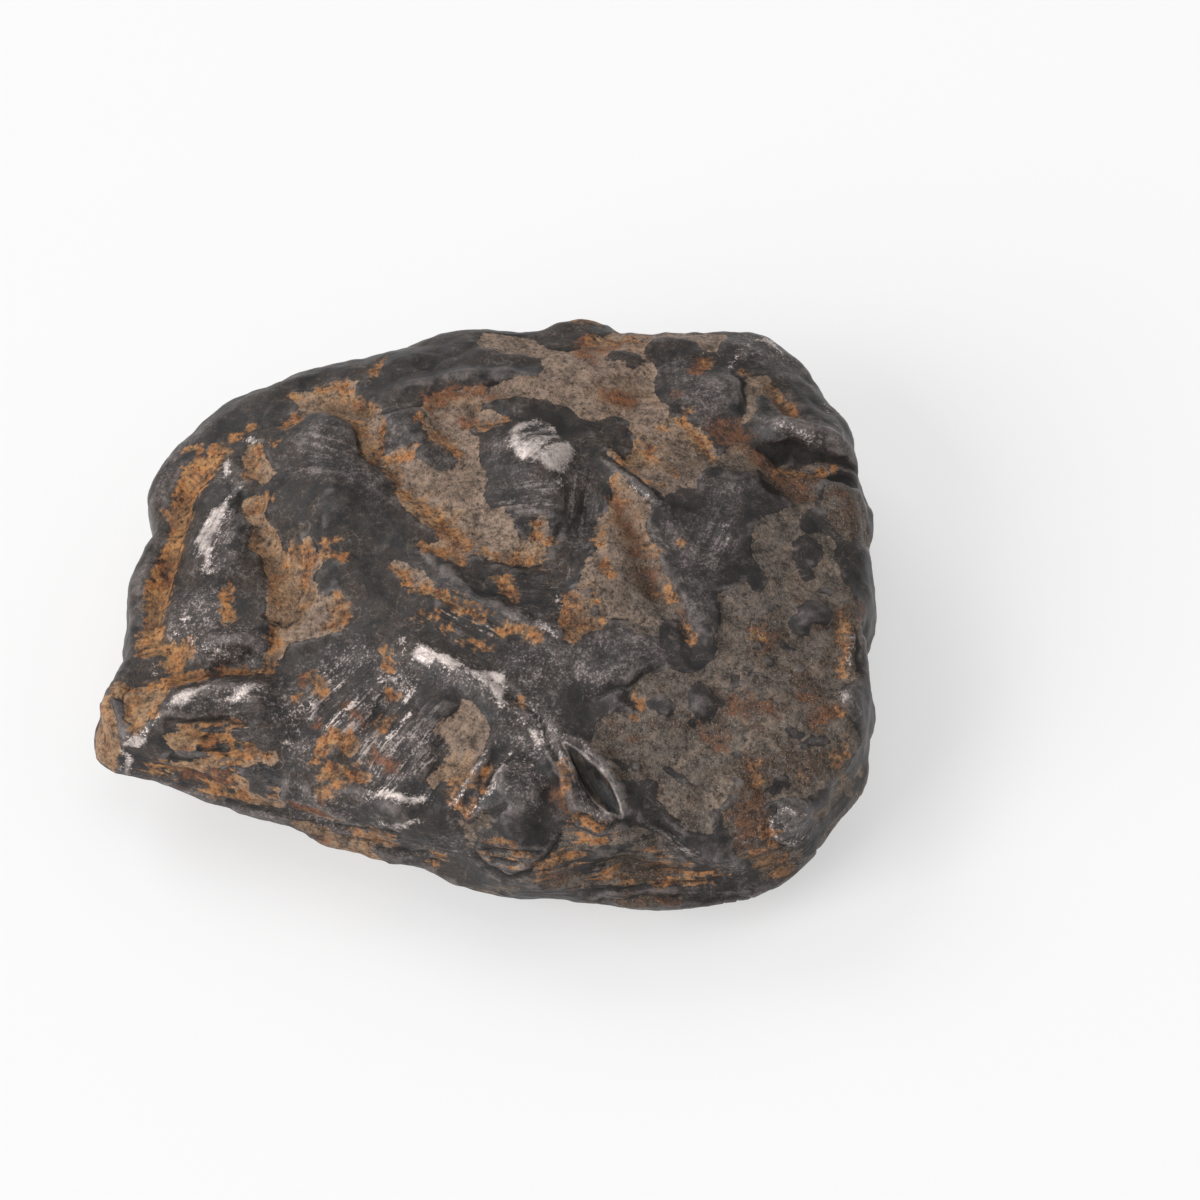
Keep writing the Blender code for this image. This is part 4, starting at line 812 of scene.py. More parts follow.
# On the sides that no drawing covers, these kinds of mark spread by themselves.
WILD: dict[Mark, Wild] = {
    Mark.CRUST: Wild(Rough(7.0, 3, 41.0), 5.0, 0.05),
    Mark.RUST: Wild(Rough(5.0, 3, 53.0), 4.0, 0.42),
    Mark.EMBER: Wild(Rough(6.0, 3, 67.0), 4.0, 0.40),
    Mark.FROST_AND_SHEEN: Wild(Rough(6.0, 2, 79.0), 5.0, 0.1),
    Mark.STAIN: Wild(Rough(8.0, 2, 83.0), 4.0, 0.0),
}


def drawn_at(points: Array) -> tuple[Array, Array]:
    """Where each point lies in the drawing of the top's marks."""
    return points[:, 0] - PLAN_SHIFT[0], points[:, 1] - PLAN_SHIFT[1]


def ease(values: Array, low: float, high: float) -> Array:
    """0 below low and 1 above high, with a soft turn between them."""
    share = np.clip((values - low) / (high - low), 0, 1)
    return share * share * (3 - 2 * share)


def arithmetic(operation: str, swapped: bool = False) -> Callable[..., Wire]:
    """Makes the method that a wire has for one sign in an expression.

    Args:
        operation: the kind of arithmetic.
        swapped: whether the wire stands to the right of the sign.

    Returns:
        The method.
    """

    def method(self: Wire, other: Feed = 0.0) -> Wire:
        """One step of arithmetic with the wire and another number."""
        first, second = (other, self) if swapped else (self, other)
        return self.bench.maths(operation, first, second)

    return method


class Wire:
    """A number or colour on its way through a material, for use in plain expressions."""

    def __init__(self, bench: Bench, socket: bpy.types.NodeSocket) -> None:
        """Wraps one output of a node."""
        self.bench = bench
        self.socket = socket

    __add__ = arithmetic("ADD")
    __radd__ = arithmetic("ADD", swapped=True)
    __sub__ = arithmetic("SUBTRACT")
    __rsub__ = arithmetic("SUBTRACT", swapped=True)
    __mul__ = arithmetic("MULTIPLY")
    __rmul__ = arithmetic("MULTIPLY", swapped=True)
    __abs__ = arithmetic("ABSOLUTE")


Feed = Union[Wire, float, Colour]


@dataclass(frozen=True)
class Cloud:
    """A free pattern: its largest forms' width, how often it gains finer ones, and its twist."""

    size: float
    detail: float
    twist: float = 0.0


class Bench:
    """Where one material is put together from nodes."""

    def __init__(self, name: str) -> None:
        """Starts an empty material."""
        self.material = bpy.data.materials.new(name)
        self.material.use_nodes = True
        self.tree = self.material.node_tree
        self.tree.nodes.clear()

    def node(self, kind: str, settings: dict[str, Any], inputs: dict[Any, Feed]) -> Any:
        """Adds a node.

        Args:
            kind: the node's type.
            settings: its properties, set before its inputs.
            inputs: values or wires for its sockets, by name or number.

        Returns:
            The new node.
        """
        node = self.tree.nodes.new(kind)
        for key, value in settings.items():
            setattr(node, key, value)
        for key, value in inputs.items():
            if isinstance(value, Wire):
                self.tree.links.new(value.socket, node.inputs[key])
            elif isinstance(value, tuple) and node.inputs[key].type == "RGBA":
                node.inputs[key].default_value = (*value, 1.0)
            else:
                node.inputs[key].default_value = value
        return node

    def maths(self, operation: str, first: Feed, second: Feed) -> Wire:
        """One step of arithmetic on numbers."""
        node = self.node("ShaderNodeMath", {"operation": operation}, {0: first, 1: second})
        return Wire(self, node.outputs[0])

    def ease(self, value: Feed, low: float, high: float) -> Wire:
        """0 below low and 1 above high, with a soft turn between them."""
        settings = {"interpolation_type": "SMOOTHSTEP"}
        inputs = {"Value": value, "From Min": low, "From Max": high}
        return Wire(self, self.node("ShaderNodeMapRange", settings, inputs).outputs[0])

    def mark(self, name: str, output: str = "Fac") -> Wire:
        """A number, or with output "Vector" a vector, stored at the mesh's points."""
        node = self.node("ShaderNodeAttribute", {"attribute_name": name}, {})
        return Wire(self, node.outputs[output])

    def noise(self, at: Wire, cloud: Cloud, unit: float = MM) -> Wire:
        """A free pattern's number around MID for each place.

        Args:
            at: the places.
            cloud: the pattern.
            unit: what the pattern's width is measured in.

        Returns:
            One number for each place.
        """
        inputs = {"Vector": at, "Scale": 1 / (cloud.size * unit), "Detail": cloud.detail}
        inputs |= {"Distortion": cloud.twist, "Roughness": CLOUD_ROUGHNESS}
        return Wire(self, self.node("ShaderNodeTexNoise", {}, inputs).outputs[0])

    def part(self, vector: Wire, number: int) -> Wire:
        """One of a vector's three parts."""
        return Wire(self, self.node("ShaderNodeSeparateXYZ", {}, {0: vector}).outputs[number])

    def blend(self, share: Feed, low: Feed, high: Feed) -> Wire:
        """A colour between two colours."""
        node = self.node("ShaderNodeMix", {"data_type": "RGBA"}, {0: share, 6: low, 7: high})
        return Wire(self, node.outputs[2])

    def level(self, share: Feed, low: Feed, high: Feed) -> Wire:
        """A number between two numbers."""
        node = self.node("ShaderNodeMix", {"data_type": "FLOAT"}, {0: share, 2: low, 3: high})
        return Wire(self, node.outputs[0])

    def finish(self, inputs: dict[Any, Feed]) -> bpy.types.Material:
        """The material, once a surface of these qualities ends it."""
        skin = self.node("ShaderNodeBsdfPrincipled", {}, inputs)
        self.node("ShaderNodeOutputMaterial", {}, {"Surface": Wire(self, skin.outputs[0])})
        return self.material


# What the free patterns lie around, and how strong their finer forms are.
MID = 0.5
CLOUD_ROUGHNESS = 0.6

# The finish's free patterns, widths in millimetres, from broad brown clouds to single grains.
GLOOM = Cloud(3.1, 5, 1.0)
DRIFT = Cloud(2.6, 4, 0.8)
MOTTLE = Cloud(1.2, 5)
PATCH = Cloud(0.8, 4, 0.6)
GRIT = Cloud(0.34, 3)
FINE = Cloud(0.15, 2)
DUST = Cloud(0.11, 0)

# Scratches as thin as hairs run where these patterns cross MID.
HAIRS = (Cloud(5.0, 3, 0.2), Cloud(3.1, 3, 0.3), Cloud(1.9, 3, 0.2))

# Striations in their own measure, and the front wall's layers with what squeezes them flat.
STRIPES = Cloud(1.0, 4)
THREADS = Cloud(0.36, 2)
BEDS = Cloud(1.0, 4, 0.3)
BED_SQUEEZE = (0.22, 0.30, 2.0)


# Where, in metres from the middle, the crust turns grey to the right and tan to the left, and where
# the light glares on frosting at the front left. Two of these limits run aslant.
EAST: Span = (0.006, 0.016)
EAST_SLANT = 0.6
WEST: Span = (0.012, 0.020)
GLARE: Span = (0.003, 0.013)
GLARE_SLANT = 0.5


@dataclass(frozen=True)
class Tone:
    """One finish: its low and high colour, and how rough and how metallic it is."""

    low: Colour
    high: Colour
    rough: float
    metal: float = 0.0


PATINA = Tone((0.0165, 0.0148, 0.0148), (0.0420, 0.0360, 0.0340), 0.40, 0.1)
BROWNED = Tone((0.022, 0.016, 0.013), (0.080, 0.056, 0.042), 0.52)
# Frosted metal, partly a painted sheen.
FROSTED_SHEEN = Tone((0.042, 0.036, 0.034), (0.152, 0.127, 0.120), 0.38, 0.25)
# Worn metal for the scratches, and a painted highlight on convex edges.
WORN_AND_HIGHLIGHT = Tone((0.080, 0.069, 0.066), (0.280, 0.238, 0.225), 0.36, 0.4)
CRUST = Tone((0.097, 0.068, 0.050), (0.342, 0.240, 0.178), 0.60)
DULL_CRUST = Tone((0.052, 0.042, 0.035), (0.160, 0.128, 0.105), 0.60)
WARM = Tone((0.130, 0.076, 0.042), (0.450, 0.268, 0.140), 0.64)
UMBER = Tone((0.026, 0.017, 0.012), (0.110, 0.070, 0.047), 0.62)
RUST = Tone((0.120, 0.048, 0.021), (0.510, 0.268, 0.106), 0.70)
FLAME = Tone((0.085, 0.030, 0.012), (0.450, 0.175, 0.058), 0.68)
EMBER = Tone((0.034, 0.014, 0.008), (0.240, 0.088, 0.037), 0.60)
RUSSET = Tone((0.028, 0.014, 0.009), (0.180, 0.076, 0.036), 0.60)
# Pale grains, partly painted glints.
GLITTER = Tone((0.26, 0.22, 0.19), (0.50, 0.44, 0.39), 0.40, 0.3)
# Bare metal, partly a painted highlight; it also colours the painted glints.
METAL = Tone((0.195, 0.166, 0.155), (0.67, 0.578, 0.540), 0.38, 0.55)
HOLLOW = Tone((0.012, 0.011, 0.011), (0.085, 0.058, 0.040), 0.42)
# Dark dirt for pits and crust edges, and painted shade in low places and creases.
DIRT_AND_SHADE = Tone((0.008, 0.007, 0.006), (0.022, 0.018, 0.015), 0.7)

# How much rougher than its tone the patina gets where it is palest.
PATINA_DULLING = 0.06


@dataclass
class Coat:
    """A finish that is built up layer by layer."""

    bench: Bench
    colour: Wire
    rough: Wire
    metal: Wire

    def lay(self, share: Wire, tone: Tone, pattern: Wire) -> None:
        """Lays one more finish on.

        Args:
            share: how much of it covers what is there.
            tone: the finish.
            pattern: where its low and high colour show.
        """
        own = self.bench.blend(pattern, tone.low, tone.high)
        self.colour = self.bench.blend(share, self.colour, own)
        self.rough = self.bench.level(share, self.rough, tone.rough)
        self.metal = self.bench.level(share, self.metal, tone.metal)


@dataclass
class Surface:
    """The shape of the whole skin, and the marks that its finish follows.

    Lengths are in millimetres. Each rough form has its height beside it. A span is where a change
    starts and where it is complete: inside a mark's edge, or for a facing, from away to toward.
    """

    node: str = "meteorite"
    grid: float = 0.28
    evening: int = 36
    foot_span: Span = (0.02, 0.5)
    wander: float = 0.24
    wander_x: Rough = Rough(1.7, 2, 3.1)
    wander_y: Rough = Rough(1.7, 2, 17.4)
    wave: float = 0.20
    wave_form: Rough = Rough(3.4, 3, 91.0)
    ripple: float = 0.08
    ripple_form: Rough = Rough(1.2, 2, 103.0)
    plate_step: float = 0.14
    plate_span: Span = (-0.25, 0.25)
    rust_depth: float = 0.07
    rust_span: Span = (-0.3, 0.3)
    crest_rise: float = 0.06
    crest_span: Span = (-0.8, 0.6)
    crease_depth: float = 0.28
    crease_span: Span = (-0.32, 0.12)
    comb_depth: float = 0.16
    comb_width: float = 0.55
    comb_length: float = 5.0
    comb_apart: float = 7.3
    comb_gain: float = 2.2
    leaf_depth: float = 0.25
    leaf_span: Span = (-0.05, 0.6)
    leaf_rim: float = 0.05
    leaf_rim_width: float = 0.16
    calm_span: Span = (-0.3, 0.3)
    wall_span: Span = (-0.3, 0.3)
    facing_up: Span = (-0.05, 0.22)
    facing_front: Span = (-0.1, 0.15)
    near_rounds: int = 8
    wide_rounds: int = 60

    def build(self) -> bpy.types.Object:
        """Makes the piece and its marks.

        Returns:
            The piece, which stands for the solid.
        """
        piece = self.fine_copy()
        skin = Skin(piece.data)
        rest = skin.points.copy()
        skin.even_out(self.evening)
        foot = 1 - ease(rest[:, 2], *self.foot_span)
        skin.points += (rest - skin.points) * foot[:, None]
        leaf = self.calm_leaf(skin)
        facing = skin.normals()
        marks = self.place_marks(skin, facing)
        combed, comb = self.comb(skin.points)
        lift = self.relief(skin, marks, combed, comb) * (1 - foot)
        lift -= self.leaf_depth * ease(leaf, *self.leaf_span)
        lift += self.leaf_rim * np.exp(-np.square(leaf / self.leaf_rim_width))
        skin.points += facing * lift[:, None]
        skin.keep_within(*(np.array(corner) / MM for corner in solid_box))
        for mark, cover in marks.items():
            skin.write(mark.value, np.clip(cover, -REACH, REACH))
        skin.write("leaf", np.clip(leaf, -REACH, REACH))
        skin.write("combed", combed)
        skin.write("comb", comb)
        skin.write_shape("edge", self.near_rounds)
        skin.write_shape("swell", self.wide_rounds)
        skin.points *= MM
        skin.normals()
        piece.data.shade_smooth()
        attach(piece, "root")
        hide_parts(self.node)
        return piece

    def fine_copy(self) -> bpy.types.Object:
        """The solid's mesh in millimetres, with small even faces."""
        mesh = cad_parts[self.node].data.copy()
        mesh.materials.clear()
        points = np.empty(len(mesh.vertices) * 3, np.float32)
        mesh.vertices.foreach_get("co", points)
        mesh.vertices.foreach_set("co", points / MM)
        draft = place("draft", mesh)
        even = draft.modifiers.new("even", "REMESH")
        even.mode = "VOXEL"
        even.voxel_size = self.grid
        graph = bpy.context.evaluated_depsgraph_get()
        fine = bpy.data.meshes.new_from_object(draft.evaluated_get(graph))
        bpy.data.objects.remove(draft)
        return place("meteorite_surface", fine)

    def place_marks(self, skin: Skin, facing: Array) -> dict[Mark, Array]:
        """Works out how far inside each kind of mark every point lies.

        Args:
            skin: the mesh.
            facing: the way that each point faces.

        Returns:
            For each kind of mark, millimetres from its edge.
        """
        points = skin.points
        drift_x = self.wander * self.wander_x.at(points)
        drift_y = self.wander * self.wander_y.at(points)
        x, y = drawn_at(points)
        sin, cos = math.sin(math.radians(WALL_TILT)), math.cos(math.radians(WALL_TILT))
        across = points[:, 0] + drift_x
        up = points[:, 1] * sin + points[:, 2] * cos + drift_y
        top = ease(facing[:, 2], *self.facing_up)
        front = ease(outline_cover(across, up, WALL), *self.wall_span)
        front = front * ease(facing[:, 2] * sin - facing[:, 1] * cos, *self.facing_front)
        marks = {}
        for mark in Mark:
            free = np.full(skin.count, -REACH)
            if mark in WILD:
                free = np.clip(WILD[mark].cover(points), -REACH, REACH)
            plan = np.clip(TOP_MARKS[mark].cover(x + drift_x, y + drift_y), -REACH, REACH)
            wall = np.clip(WALL_MARKS[mark].cover(across, up), -REACH, REACH)
            cover = plan * top + free * (1 - top)
            marks[mark] = cover * (1 - front) + wall * front
        skin.write("front", front)
        return marks

    def calm_leaf(self, skin: Skin) -> Array:
        """Smooths the surface inside the leaf-shaped hollow.

        Args:
            skin: the mesh.

        Returns:
            About how many millimetres inside the hollow's edge each point lies.
        """
        leaf = outline_cover(*drawn_at(skin.points), LEAF)
        calm = skin.blurred(skin.points, self.wide_rounds)
        inside = ease(leaf, *self.calm_span)
        skin.points += (calm - skin.points) * inside[:, None]
        return leaf

    def comb(self, points: Array) -> tuple[Array, Array]:
        """Where striations run, and each point's place across and along them.

        Args:
            points: the places.

        Returns:
            How strong the striations are, and the places in their own measure.
        """
        strength = np.zeros(len(points))
        spots = np.zeros((len(points), 3))
        x, y = drawn_at(points)
        for number, (at_x, at_y, reach, way, force) in enumerate(COMBED):
            here = force * np.clip(1 - np.hypot(x - at_x, y - at_y) / reach, 0, 1)
            cos, sin = math.cos(math.radians(way)), math.sin(math.radians(way))
            along = ((x - at_x) * cos + (y - at_y) * sin) / self.comb_length
            across = ((y - at_y) * cos - (x - at_x) * sin) / self.comb_width
            own = np.stack([across, along, np.full_like(x, self.comb_apart * number)], axis=1)
            spots = np.where((here > strength)[:, None], own, spots)
            strength = np.maximum(strength, here)
        return np.clip(strength * self.comb_gain, 0, 1), spots

    def relief(self, skin: Skin, marks: dict[Mark, Array], combed: Array, comb: Array) -> Array:
        """How far each point is raised from the solid's smooth form.

        Args:
            skin: the mesh.
            marks: how far inside each kind of mark every point lies.
            combed: how strong the striations are.
            comb: the places in the striations' own measure.

        Returns:
            Millimetres along the surface's normal.
        """
        crust = ease(marks[Mark.CRUST], *self.plate_span)
        rust = ease(marks[Mark.RUST], *self.rust_span)
        lift = self.plate_step * (0.5 - crust) - self.rust_depth * rust
        lift += self.crest_rise * ease(marks[Mark.METAL], *self.crest_span)
        lift -= self.crease_depth * ease(marks[Mark.CREASE], *self.crease_span)
        stripes = np.array([noise.noise(Vector(spot)) for spot in comb])
        lift += self.comb_depth * combed * stripes
        lift += self.wave * self.wave_form.at(skin.points)
        lift += self.ripple * self.ripple_form.at(skin.points)
        return lift


class Ground:
    """The free patterns and the marks that the layers of the finish share."""

    def __init__(self, bench: Bench) -> None:
        """Sets them out."""
        self.at = at = Wire(bench, bench.node("ShaderNodeTexCoord", {}, {}).outputs["Object"])
        self.gloom = bench.noise(at, GLOOM)
        self.drift = drift = bench.noise(at, DRIFT)
        self.mottle = mottle = bench.noise(at, MOTTLE)
        self.patch = patch = bench.noise(at, PATCH)
        self.grit = grit = bench.noise(at, GRIT)
        self.fine = fine = bench.noise(at, FINE)
        comb = bench.mark("comb", "Vector")
        self.stripes = bench.noise(comb, STRIPES, 1.0)
        threads = bench.noise(comb, THREADS, 1.0)
        streak = (self.stripes * 0.6 + threads * 0.4 - MID) * bench.mark("combed")
        flat = {"operation": "MULTIPLY"}
        squeezed = bench.node("ShaderNodeVectorMath", flat, {0: at, 1: BED_SQUEEZE})
        beds = bench.noise(Wire(bench, squeezed.outputs[0]), BEDS)
        bed = (beds - MID) * bench.mark("front")
        self.streak, self.bed = streak, bed
        self.clouds = bench.ease(drift * 0.5 + mottle * 0.35 + fine * 0.15, 0.38, 0.64)
        self.glint = bench.ease(mottle * 0.45 + grit * 0.35 + fine * 0.2 + streak * 0.9, 0.32, 0.66)
        self.grain = bench.ease(mottle * 0.4 + grit * 0.4 + fine * 0.2, 0.38, 0.62)
        self.sand = bench.ease(grit * 0.5 + fine * 0.5, 0.36, 0.66)
        self.flecks = bench.ease(patch * 0.5 + grit * 0.35 + fine * 0.15, 0.38, 0.62)
        # Specks of painted glints, also used to break up the edges of bare metal.
        self.glint_specks = bench.ease(grit * 0.35 + fine * 0.5 + mottle * 0.15 + streak * 1.1, 0.525, 0.61)

        x, y = bench.part(at, 0), bench.part(at, 1)
        self.east = bench.ease(x - y * EAST_SLANT, *EAST)
        self.west = bench.ease(0.0 - x, *WEST)
        self.glare = bench.ease(0.0 - y - x * GLARE_SLANT, *GLARE)

        ragged = (mottle - MID) * 0.9 + (grit - MID) * 0.25
        frayed = (patch - MID) * 1.6 + (grit - MID) * 0.6
        self.crust_mark = bench.mark("crust")
        self.crust = bench.ease(self.crust_mark + ragged + streak * 1.2 + bed * 1.6, -0.06, 0.06)
        self.rust = bench.ease(bench.mark("rust") + frayed + streak * 1.6 + bed * 5.0, -0.25, 0.35)
        self.ember = bench.ease(bench.mark("ember") + frayed * 1.3 - bed * 5.0, -0.4, 0.6)
        self.stain = bench.ease(bench.mark("stain") * 0.4 + frayed * 0.9, -0.5, 0.7)
        # Bare metal, partly a painted highlight on the crests.
        metal = bench.mark("metal") + ragged * 0.7 + streak * 0.8 + (self.glint_specks - MID) * 0.25
        self.metal = bench.ease(metal, -0.14, 0.34)
        # Frosting, partly a painted sheen on the ridges.
        self.frost_and_sheen = bench.ease(bench.mark("frost_and_sheen") + ragged * 1.6 + streak * 2.6, -0.6, 1.2)
        self.crease = bench.ease(bench.mark("crease") + ragged * 0.15, -0.1, 0.08)
        leaf = bench.mark("leaf")
        self.leaf = bench.ease(leaf, -0.04, 0.08)
        self.leaf_edge = 1 - bench.ease(abs(leaf + 0.03 + ragged * 0.15), 0.02, 0.12)


class Finish:
    """The look of the meteorite, laid on layer by layer."""

    def __init__(self) -> None:
        """Starts with dark patina."""
        self.bench = bench = Bench("meteorite_iron")
        self.ground = Ground(bench)
        clouds = self.ground.clouds
        self.coat = Coat(
            bench,
            bench.blend(clouds, PATINA.low, PATINA.high),
            bench.level(clouds, PATINA.rough, PATINA.rough + PATINA_DULLING),
            bench.level(0.0, PATINA.metal, PATINA.metal),
        )

    def dress(self, piece: bpy.types.Object) -> None:
        """Puts the finish on the piece."""
        self.lay_wear()
        self.lay_crust()
        self.lay_rust()
        self.lay_grains()
        self.lay_metal_and_highlight()
        self.lay_shade_and_cracks()
        skin = {"Base Color": self.coat.colour, "Roughness": self.coat.rough}
        skin |= {"Metallic": self.coat.metal, "Specular IOR Level": 0.32, "Normal": self.bumps()}
        piece.data.materials.append(self.bench.finish(skin))

    def lay_wear(self) -> None:
        """Brown film, frosting partly painted as sheen, scratches, painted glints, and worn edges partly
        painted as highlight, on the patina.
        """
        bench, g, coat = self.bench, self.ground, self.coat
        film = bench.ease(g.drift * 0.6 + g.patch * 0.4 + g.stain * 0.12, 0.44, 0.62)
        coat.lay(film * (1 - g.east * 0.7) * 0.8, BROWNED, g.sand)
        specks = bench.ease(g.mottle * 0.5 + g.grit * 0.35 + g.fine * 0.15 + g.streak * 0.9, 0.40, 0.66)
        coat.lay(g.frost_and_sheen * bench.level(specks, 0.32, 0.90), FROSTED_SHEEN, g.glint)
        hair: Feed = 0.0
        for cloud in HAIRS:
            hair = hair + 1 - bench.ease(abs(bench.noise(g.at, cloud) - MID), 0.002, 0.010)
        coat.lay(hair * bench.ease(g.drift * 0.5 + g.patch * 0.5, 0.46, 0.57) * 0.35, WORN_AND_HIGHLIGHT, g.glint)
        # Painted glints on the frosting, strongest at the front left where the lamps glare.
        coat.lay(g.frost_and_sheen * g.glint_specks * bench.level(g.glare, 0.16, 0.42), METAL, g.glint)
        # Painted glints along the striations.
        striation_glints = bench.ease(g.streak, 0.05, 0.15)
        striation_glints = striation_glints * bench.ease(g.patch * 0.5 + g.grit * 0.5, 0.46, 0.58)
        coat.lay(striation_glints * 0.62, METAL, g.grain)
        # Rubbed metal on the convex edges, partly a painted highlight there.
        worn = bench.ease(bench.mark("edge") + (g.mottle - MID) * 0.06, 0.025, 0.085)
        coat.lay(worn * 0.5, WORN_AND_HIGHLIGHT, g.glint)
        rim = g.crust * (1 - g.crust) * 4
        coat.lay(rim * 0.4, DIRT_AND_SHADE, g.sand)

    def lay_crust(self) -> None:
        """Crust, tan on the left and grey on the right, with pale and brown patches."""
        bench, g, coat = self.bench, self.ground, self.coat
        coat.lay(g.crust, CRUST, g.grain)
        coat.lay(g.crust * g.east, DULL_CRUST, g.grain)
        pale = bench.ease(g.drift * 0.5 + g.patch * 0.3 + g.mottle * 0.2, 0.50, 0.60)
        coat.lay(g.crust * pale * 0.45, CRUST, bench.ease(g.grit, 0.3, 0.6))
        warm = g.stain * 0.5 + g.patch * 0.35 + g.drift * 0.3 - g.crust_mark * 0.08
        warm = bench.level(g.west, bench.ease(warm, 0.34, 0.72), 1.0)
        coat.lay(g.crust * warm * (1 - g.east) * 0.85, WARM, g.grain)
        coat.lay(g.crust * g.west * bench.ease(g.patch, 0.50, 0.58) * 0.5, FLAME, g.grain)
        brown = bench.ease(g.gloom * 0.65 + g.patch * 0.35 + g.stain * 0.08, 0.49, 0.60)
        coat.lay(g.crust * brown * bench.level(g.east, 0.35, 0.85), UMBER, g.sand)
        dark = bench.ease(0.0 - g.gloom * 0.4 - g.mottle * 0.6, -0.46, -0.38)
        coat.lay(g.crust * dark * 0.5, UMBER, g.sand * 0.4)

    def lay_rust(self) -> None:
        """Red-brown stains, then rust in gold, tan, orange and brown, and the dark layers in it."""
        bench, g, coat = self.bench, self.ground, self.coat
        coat.lay(g.ember * (1 - g.east) * 0.85, EMBER, g.flecks)
        coat.lay(g.ember * g.east * 0.8, RUSSET, g.flecks)
        gold = bench.ease(g.patch * 0.35 + g.mottle * 0.25 + g.grit * 0.40, 0.43, 0.585)
        coat.lay(g.rust * bench.level(g.flecks, 0.6, 1.0), RUST, gold)
        bright = g.rust * g.west * bench.ease(g.drift, 0.42, 0.55)
        coat.lay(bright * 0.6, RUST, bench.ease(g.grit, 0.26, 0.52))
        coat.lay(g.rust * (1 - g.west) * bench.ease(g.drift, 0.42, 0.56) * 0.55, WARM, g.grain)
        coat.lay(g.rust * bench.ease(g.patch, 0.47, 0.57) * 0.7, FLAME, g.grain)
        coat.lay(g.rust * bench.ease(0.0 - g.drift, -0.48, -0.38) * 0.6, EMBER, g.flecks)
        coat.lay(g.rust * bench.ease(g.gloom, 0.52, 0.60) * 0.6, UMBER, g.flecks)
        seam = bench.ease(0.0 - g.bed, 0.040, 0.090) * bench.ease(g.patch, 0.44, 0.54)
        coat.lay(seam * (1 - g.west) * 0.7, PATINA, g.clouds)

    def lay_grains(self) -> None:
        """Dark pits in crust and rust, and single pale grains with painted glints."""
        bench, g, coat = self.bench, self.ground, self.coat
        pits = bench.ease(0.37 - g.grit + g.rust * 0.03, 0.0, 0.06)
        pits = pits * bench.ease(g.crust + g.rust, 0.3, 0.8)
        coat.lay(pits * 0.6, DIRT_AND_SHADE, g.sand)
        # Pale grains on the crust with painted glints.
        grains = bench.ease(bench.noise(g.at, DUST), 0.68, 0.78) * bench.level(g.crust, 0.12, 1.0)
        coat.lay(grains * 0.45, GLITTER, g.mottle)

    def lay_metal_and_highlight(self) -> None:
        """Bare metal on worn ridges, partly a painted highlight, and the leaf-shaped hollow with its bright
        edge.
        """
        bench, g, coat = self.bench, self.ground, self.coat
        bare = g.mottle * 0.3 + g.grit * 0.4 + g.fine * 0.3 + g.streak * 0.7
        coat.lay(g.metal, METAL, bench.ease(bare, 0.30, 0.58))
        coat.lay(g.leaf, HOLLOW, bench.ease(g.stripes * 0.7 + g.patch * 0.3, 0.46, 0.66))
        coat.lay(g.leaf_edge * 0.35, METAL, g.glint)

    def lay_shade_and_cracks(self) -> None:
        """Painted shade in low places, and in the creases painted shade, partly dark cracks."""
        bench, g, coat = self.bench, self.ground, self.coat
        # Painted shade in the low places.
        sunk_shade = bench.ease(0.0 - bench.mark("swell") + (g.mottle - MID) * 0.1, 0.10, 0.42)
        coat.lay(sunk_shade * 0.4, DIRT_AND_SHADE, g.grain)
        # Painted shade in the creases, partly dark cracks.
        coat.lay(g.crease, DIRT_AND_SHADE, g.grain)

    def bumps(self) -> Wire:
        """The unevenness that is too fine for the mesh."""
        bench, g = self.bench, self.ground
        matte = bench.ease(g.crust + g.rust + g.ember, 0.0, 1.0)
        height = (g.mottle - MID) * 0.10 + g.streak * 0.20 + g.bed * 0.5
        height = height + matte * ((g.grit - MID) * 0.14 + (g.fine - MID) * 0.05)
        faint = (g.grit - MID) * 0.05 + (g.fine - MID) * 0.02
        height = height + (1 - matte) * faint * (0.4 + g.frost_and_sheen)
        bump = bench.node("ShaderNodeBump", {}, {"Height": height, "Distance": MM, "Strength": 1.0})
        return Wire(bench, bump.outputs["Normal"])


@dataclass(frozen=True)
class Lamp:
    """A soft square lamp: its place and side in metres, and its power in watts."""

    name: str
    at: tuple[float, float, float]
    size: float
    power: float

    def hang(self) -> None:
        """Hangs the lamp so that it points at the middle of the object."""
        lamp = bpy.data.lights.new(self.name, "AREA")
        lamp.size = self.size
        lamp.energy = self.power
        holder = place(self.name, lamp)
        holder.location = self.at
        holder.rotation_euler = (-Vector(self.at)).to_track_quat("-Z", "Y").to_euler()


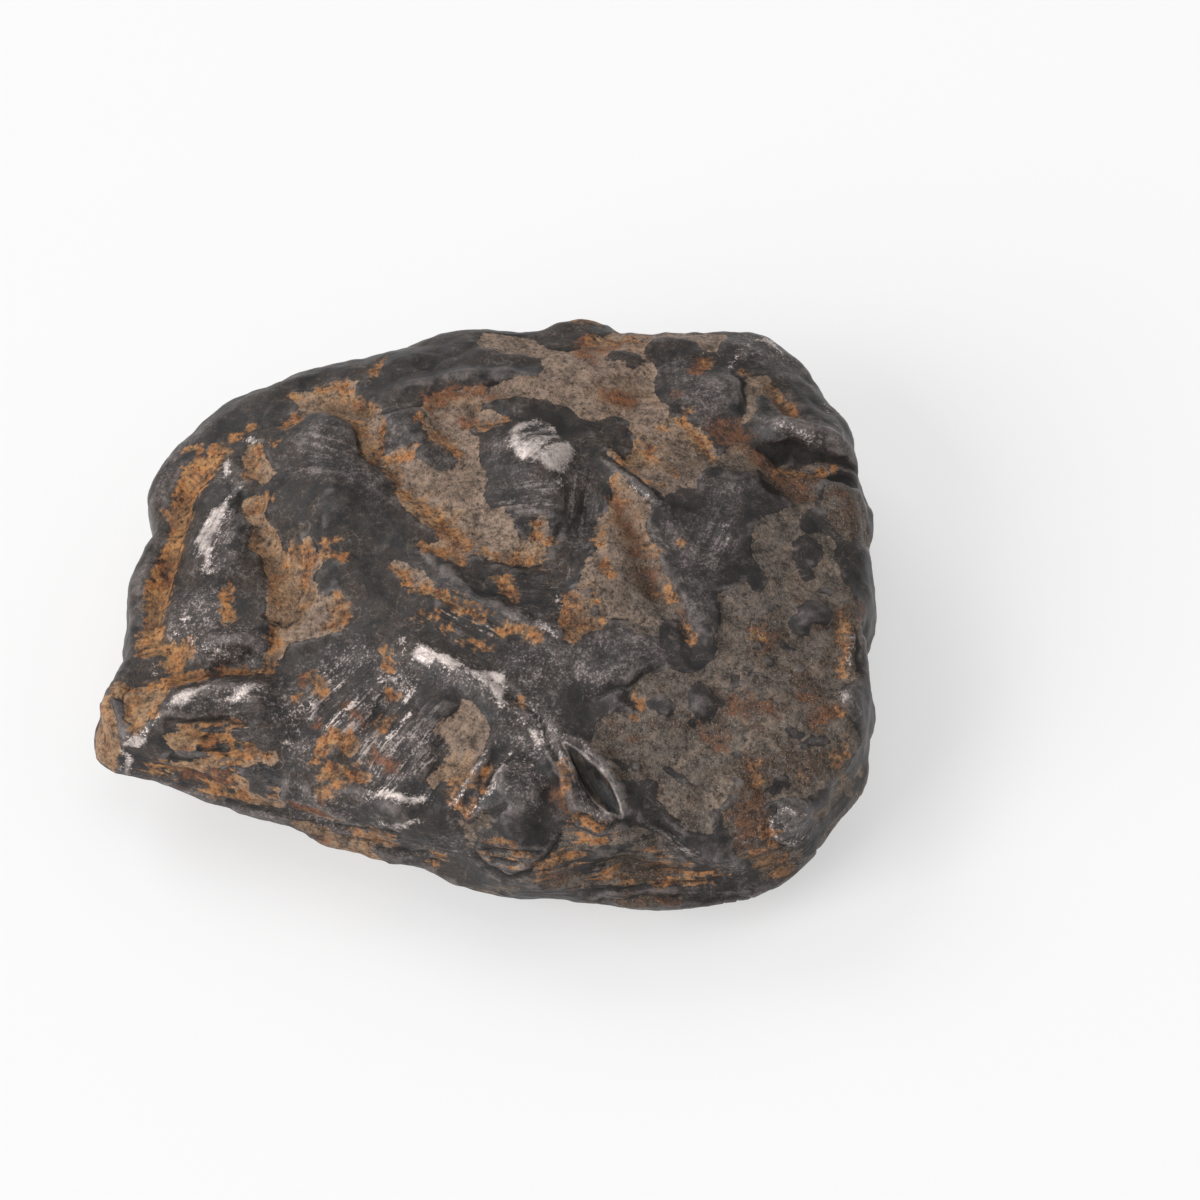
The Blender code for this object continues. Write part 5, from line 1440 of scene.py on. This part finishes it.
@dataclass
class Studio:
    """The pale floor, the soft light and the camera, in metres and degrees."""

    aim: tuple[float, float] = (0.007872, 0.006482)
    distance: float = 0.3684
    tilt: float = 51.73
    lens: float = 150.0
    sensor: float = 36.0
    floor_size: float = 3.0
    floor_colour: Colour = (0.45, 0.45, 0.45)
    floor_glow: float = 0.50
    floor_tint: Colour = (1.0, 0.995, 0.997)
    sky: float = 0.42
    sky_tint: Colour = (1.0, 0.995, 0.99)
    lamps: tuple[Lamp, ...] = (
        Lamp("left_front", (-1.60, -1.10, 1.20), 1.4, 37.5),
        Lamp("left_back", (-1.10, 1.10, 1.60), 1.0, 12.0),
        Lamp("overhead", (0.20, 0.0, 2.40), 1.6, 7.4),
    )

    def build(self) -> None:
        """Sets everything up."""
        bpy.context.scene.view_settings.view_transform = "Standard"
        self.lay_floor()
        self.hang_sky()
        for lamp in self.lamps:
            lamp.hang()
        self.place_camera()

    def lay_floor(self) -> None:
        """A matt pale floor, lit through from below."""
        half = self.floor_size / 2
        mesh = bpy.data.meshes.new("floor")
        corners = [(-half, -half, 0), (half, -half, 0), (half, half, 0), (-half, half, 0)]
        mesh.from_pydata(corners, [], [(0, 1, 2, 3)])
        floor = place("floor", mesh)
        paper = {"Base Color": self.floor_colour, "Roughness": 0.9, "Specular IOR Level": 0.2}
        paper |= {"Emission Color": self.floor_tint, "Emission Strength": self.floor_glow}
        mesh.materials.append(Bench("floor_paper").finish(paper))

    def hang_sky(self) -> None:
        """Even white light from all around."""
        world = bpy.data.worlds.new("tent")
        world.use_nodes = True
        shade = world.node_tree.nodes["Background"]
        shade.inputs["Color"].default_value = (*self.sky_tint, 1.0)
        shade.inputs["Strength"].default_value = self.sky
        bpy.context.scene.world = world

    def place_camera(self) -> None:
        """The camera: a long lens that looks down from the front."""
        tilt = math.radians(self.tilt)
        camera = bpy.data.cameras.new("camera")
        camera.lens = self.lens
        camera.sensor_width = self.sensor
        holder = place("camera", camera)
        back = self.distance * math.cos(tilt)
        holder.location = (self.aim[0], self.aim[1] - back, self.distance * math.sin(tilt))
        holder.rotation_euler = (math.pi / 2 - tilt, 0.0, 0.0)
        bpy.context.scene.camera = holder


def main() -> None:
    """Builds the meteorite's surface and the studio around it."""
    logging.basicConfig(level=logging.INFO, format="%(name)s: %(message)s")
    piece = Surface().build()
    Finish().dress(piece)
    triangles = sum(len(face.vertices) - 2 for face in piece.data.polygons)
    log.info("%s has %d triangles", piece.name, triangles)
    Studio().build()


if __name__ == "__main__":
    main()
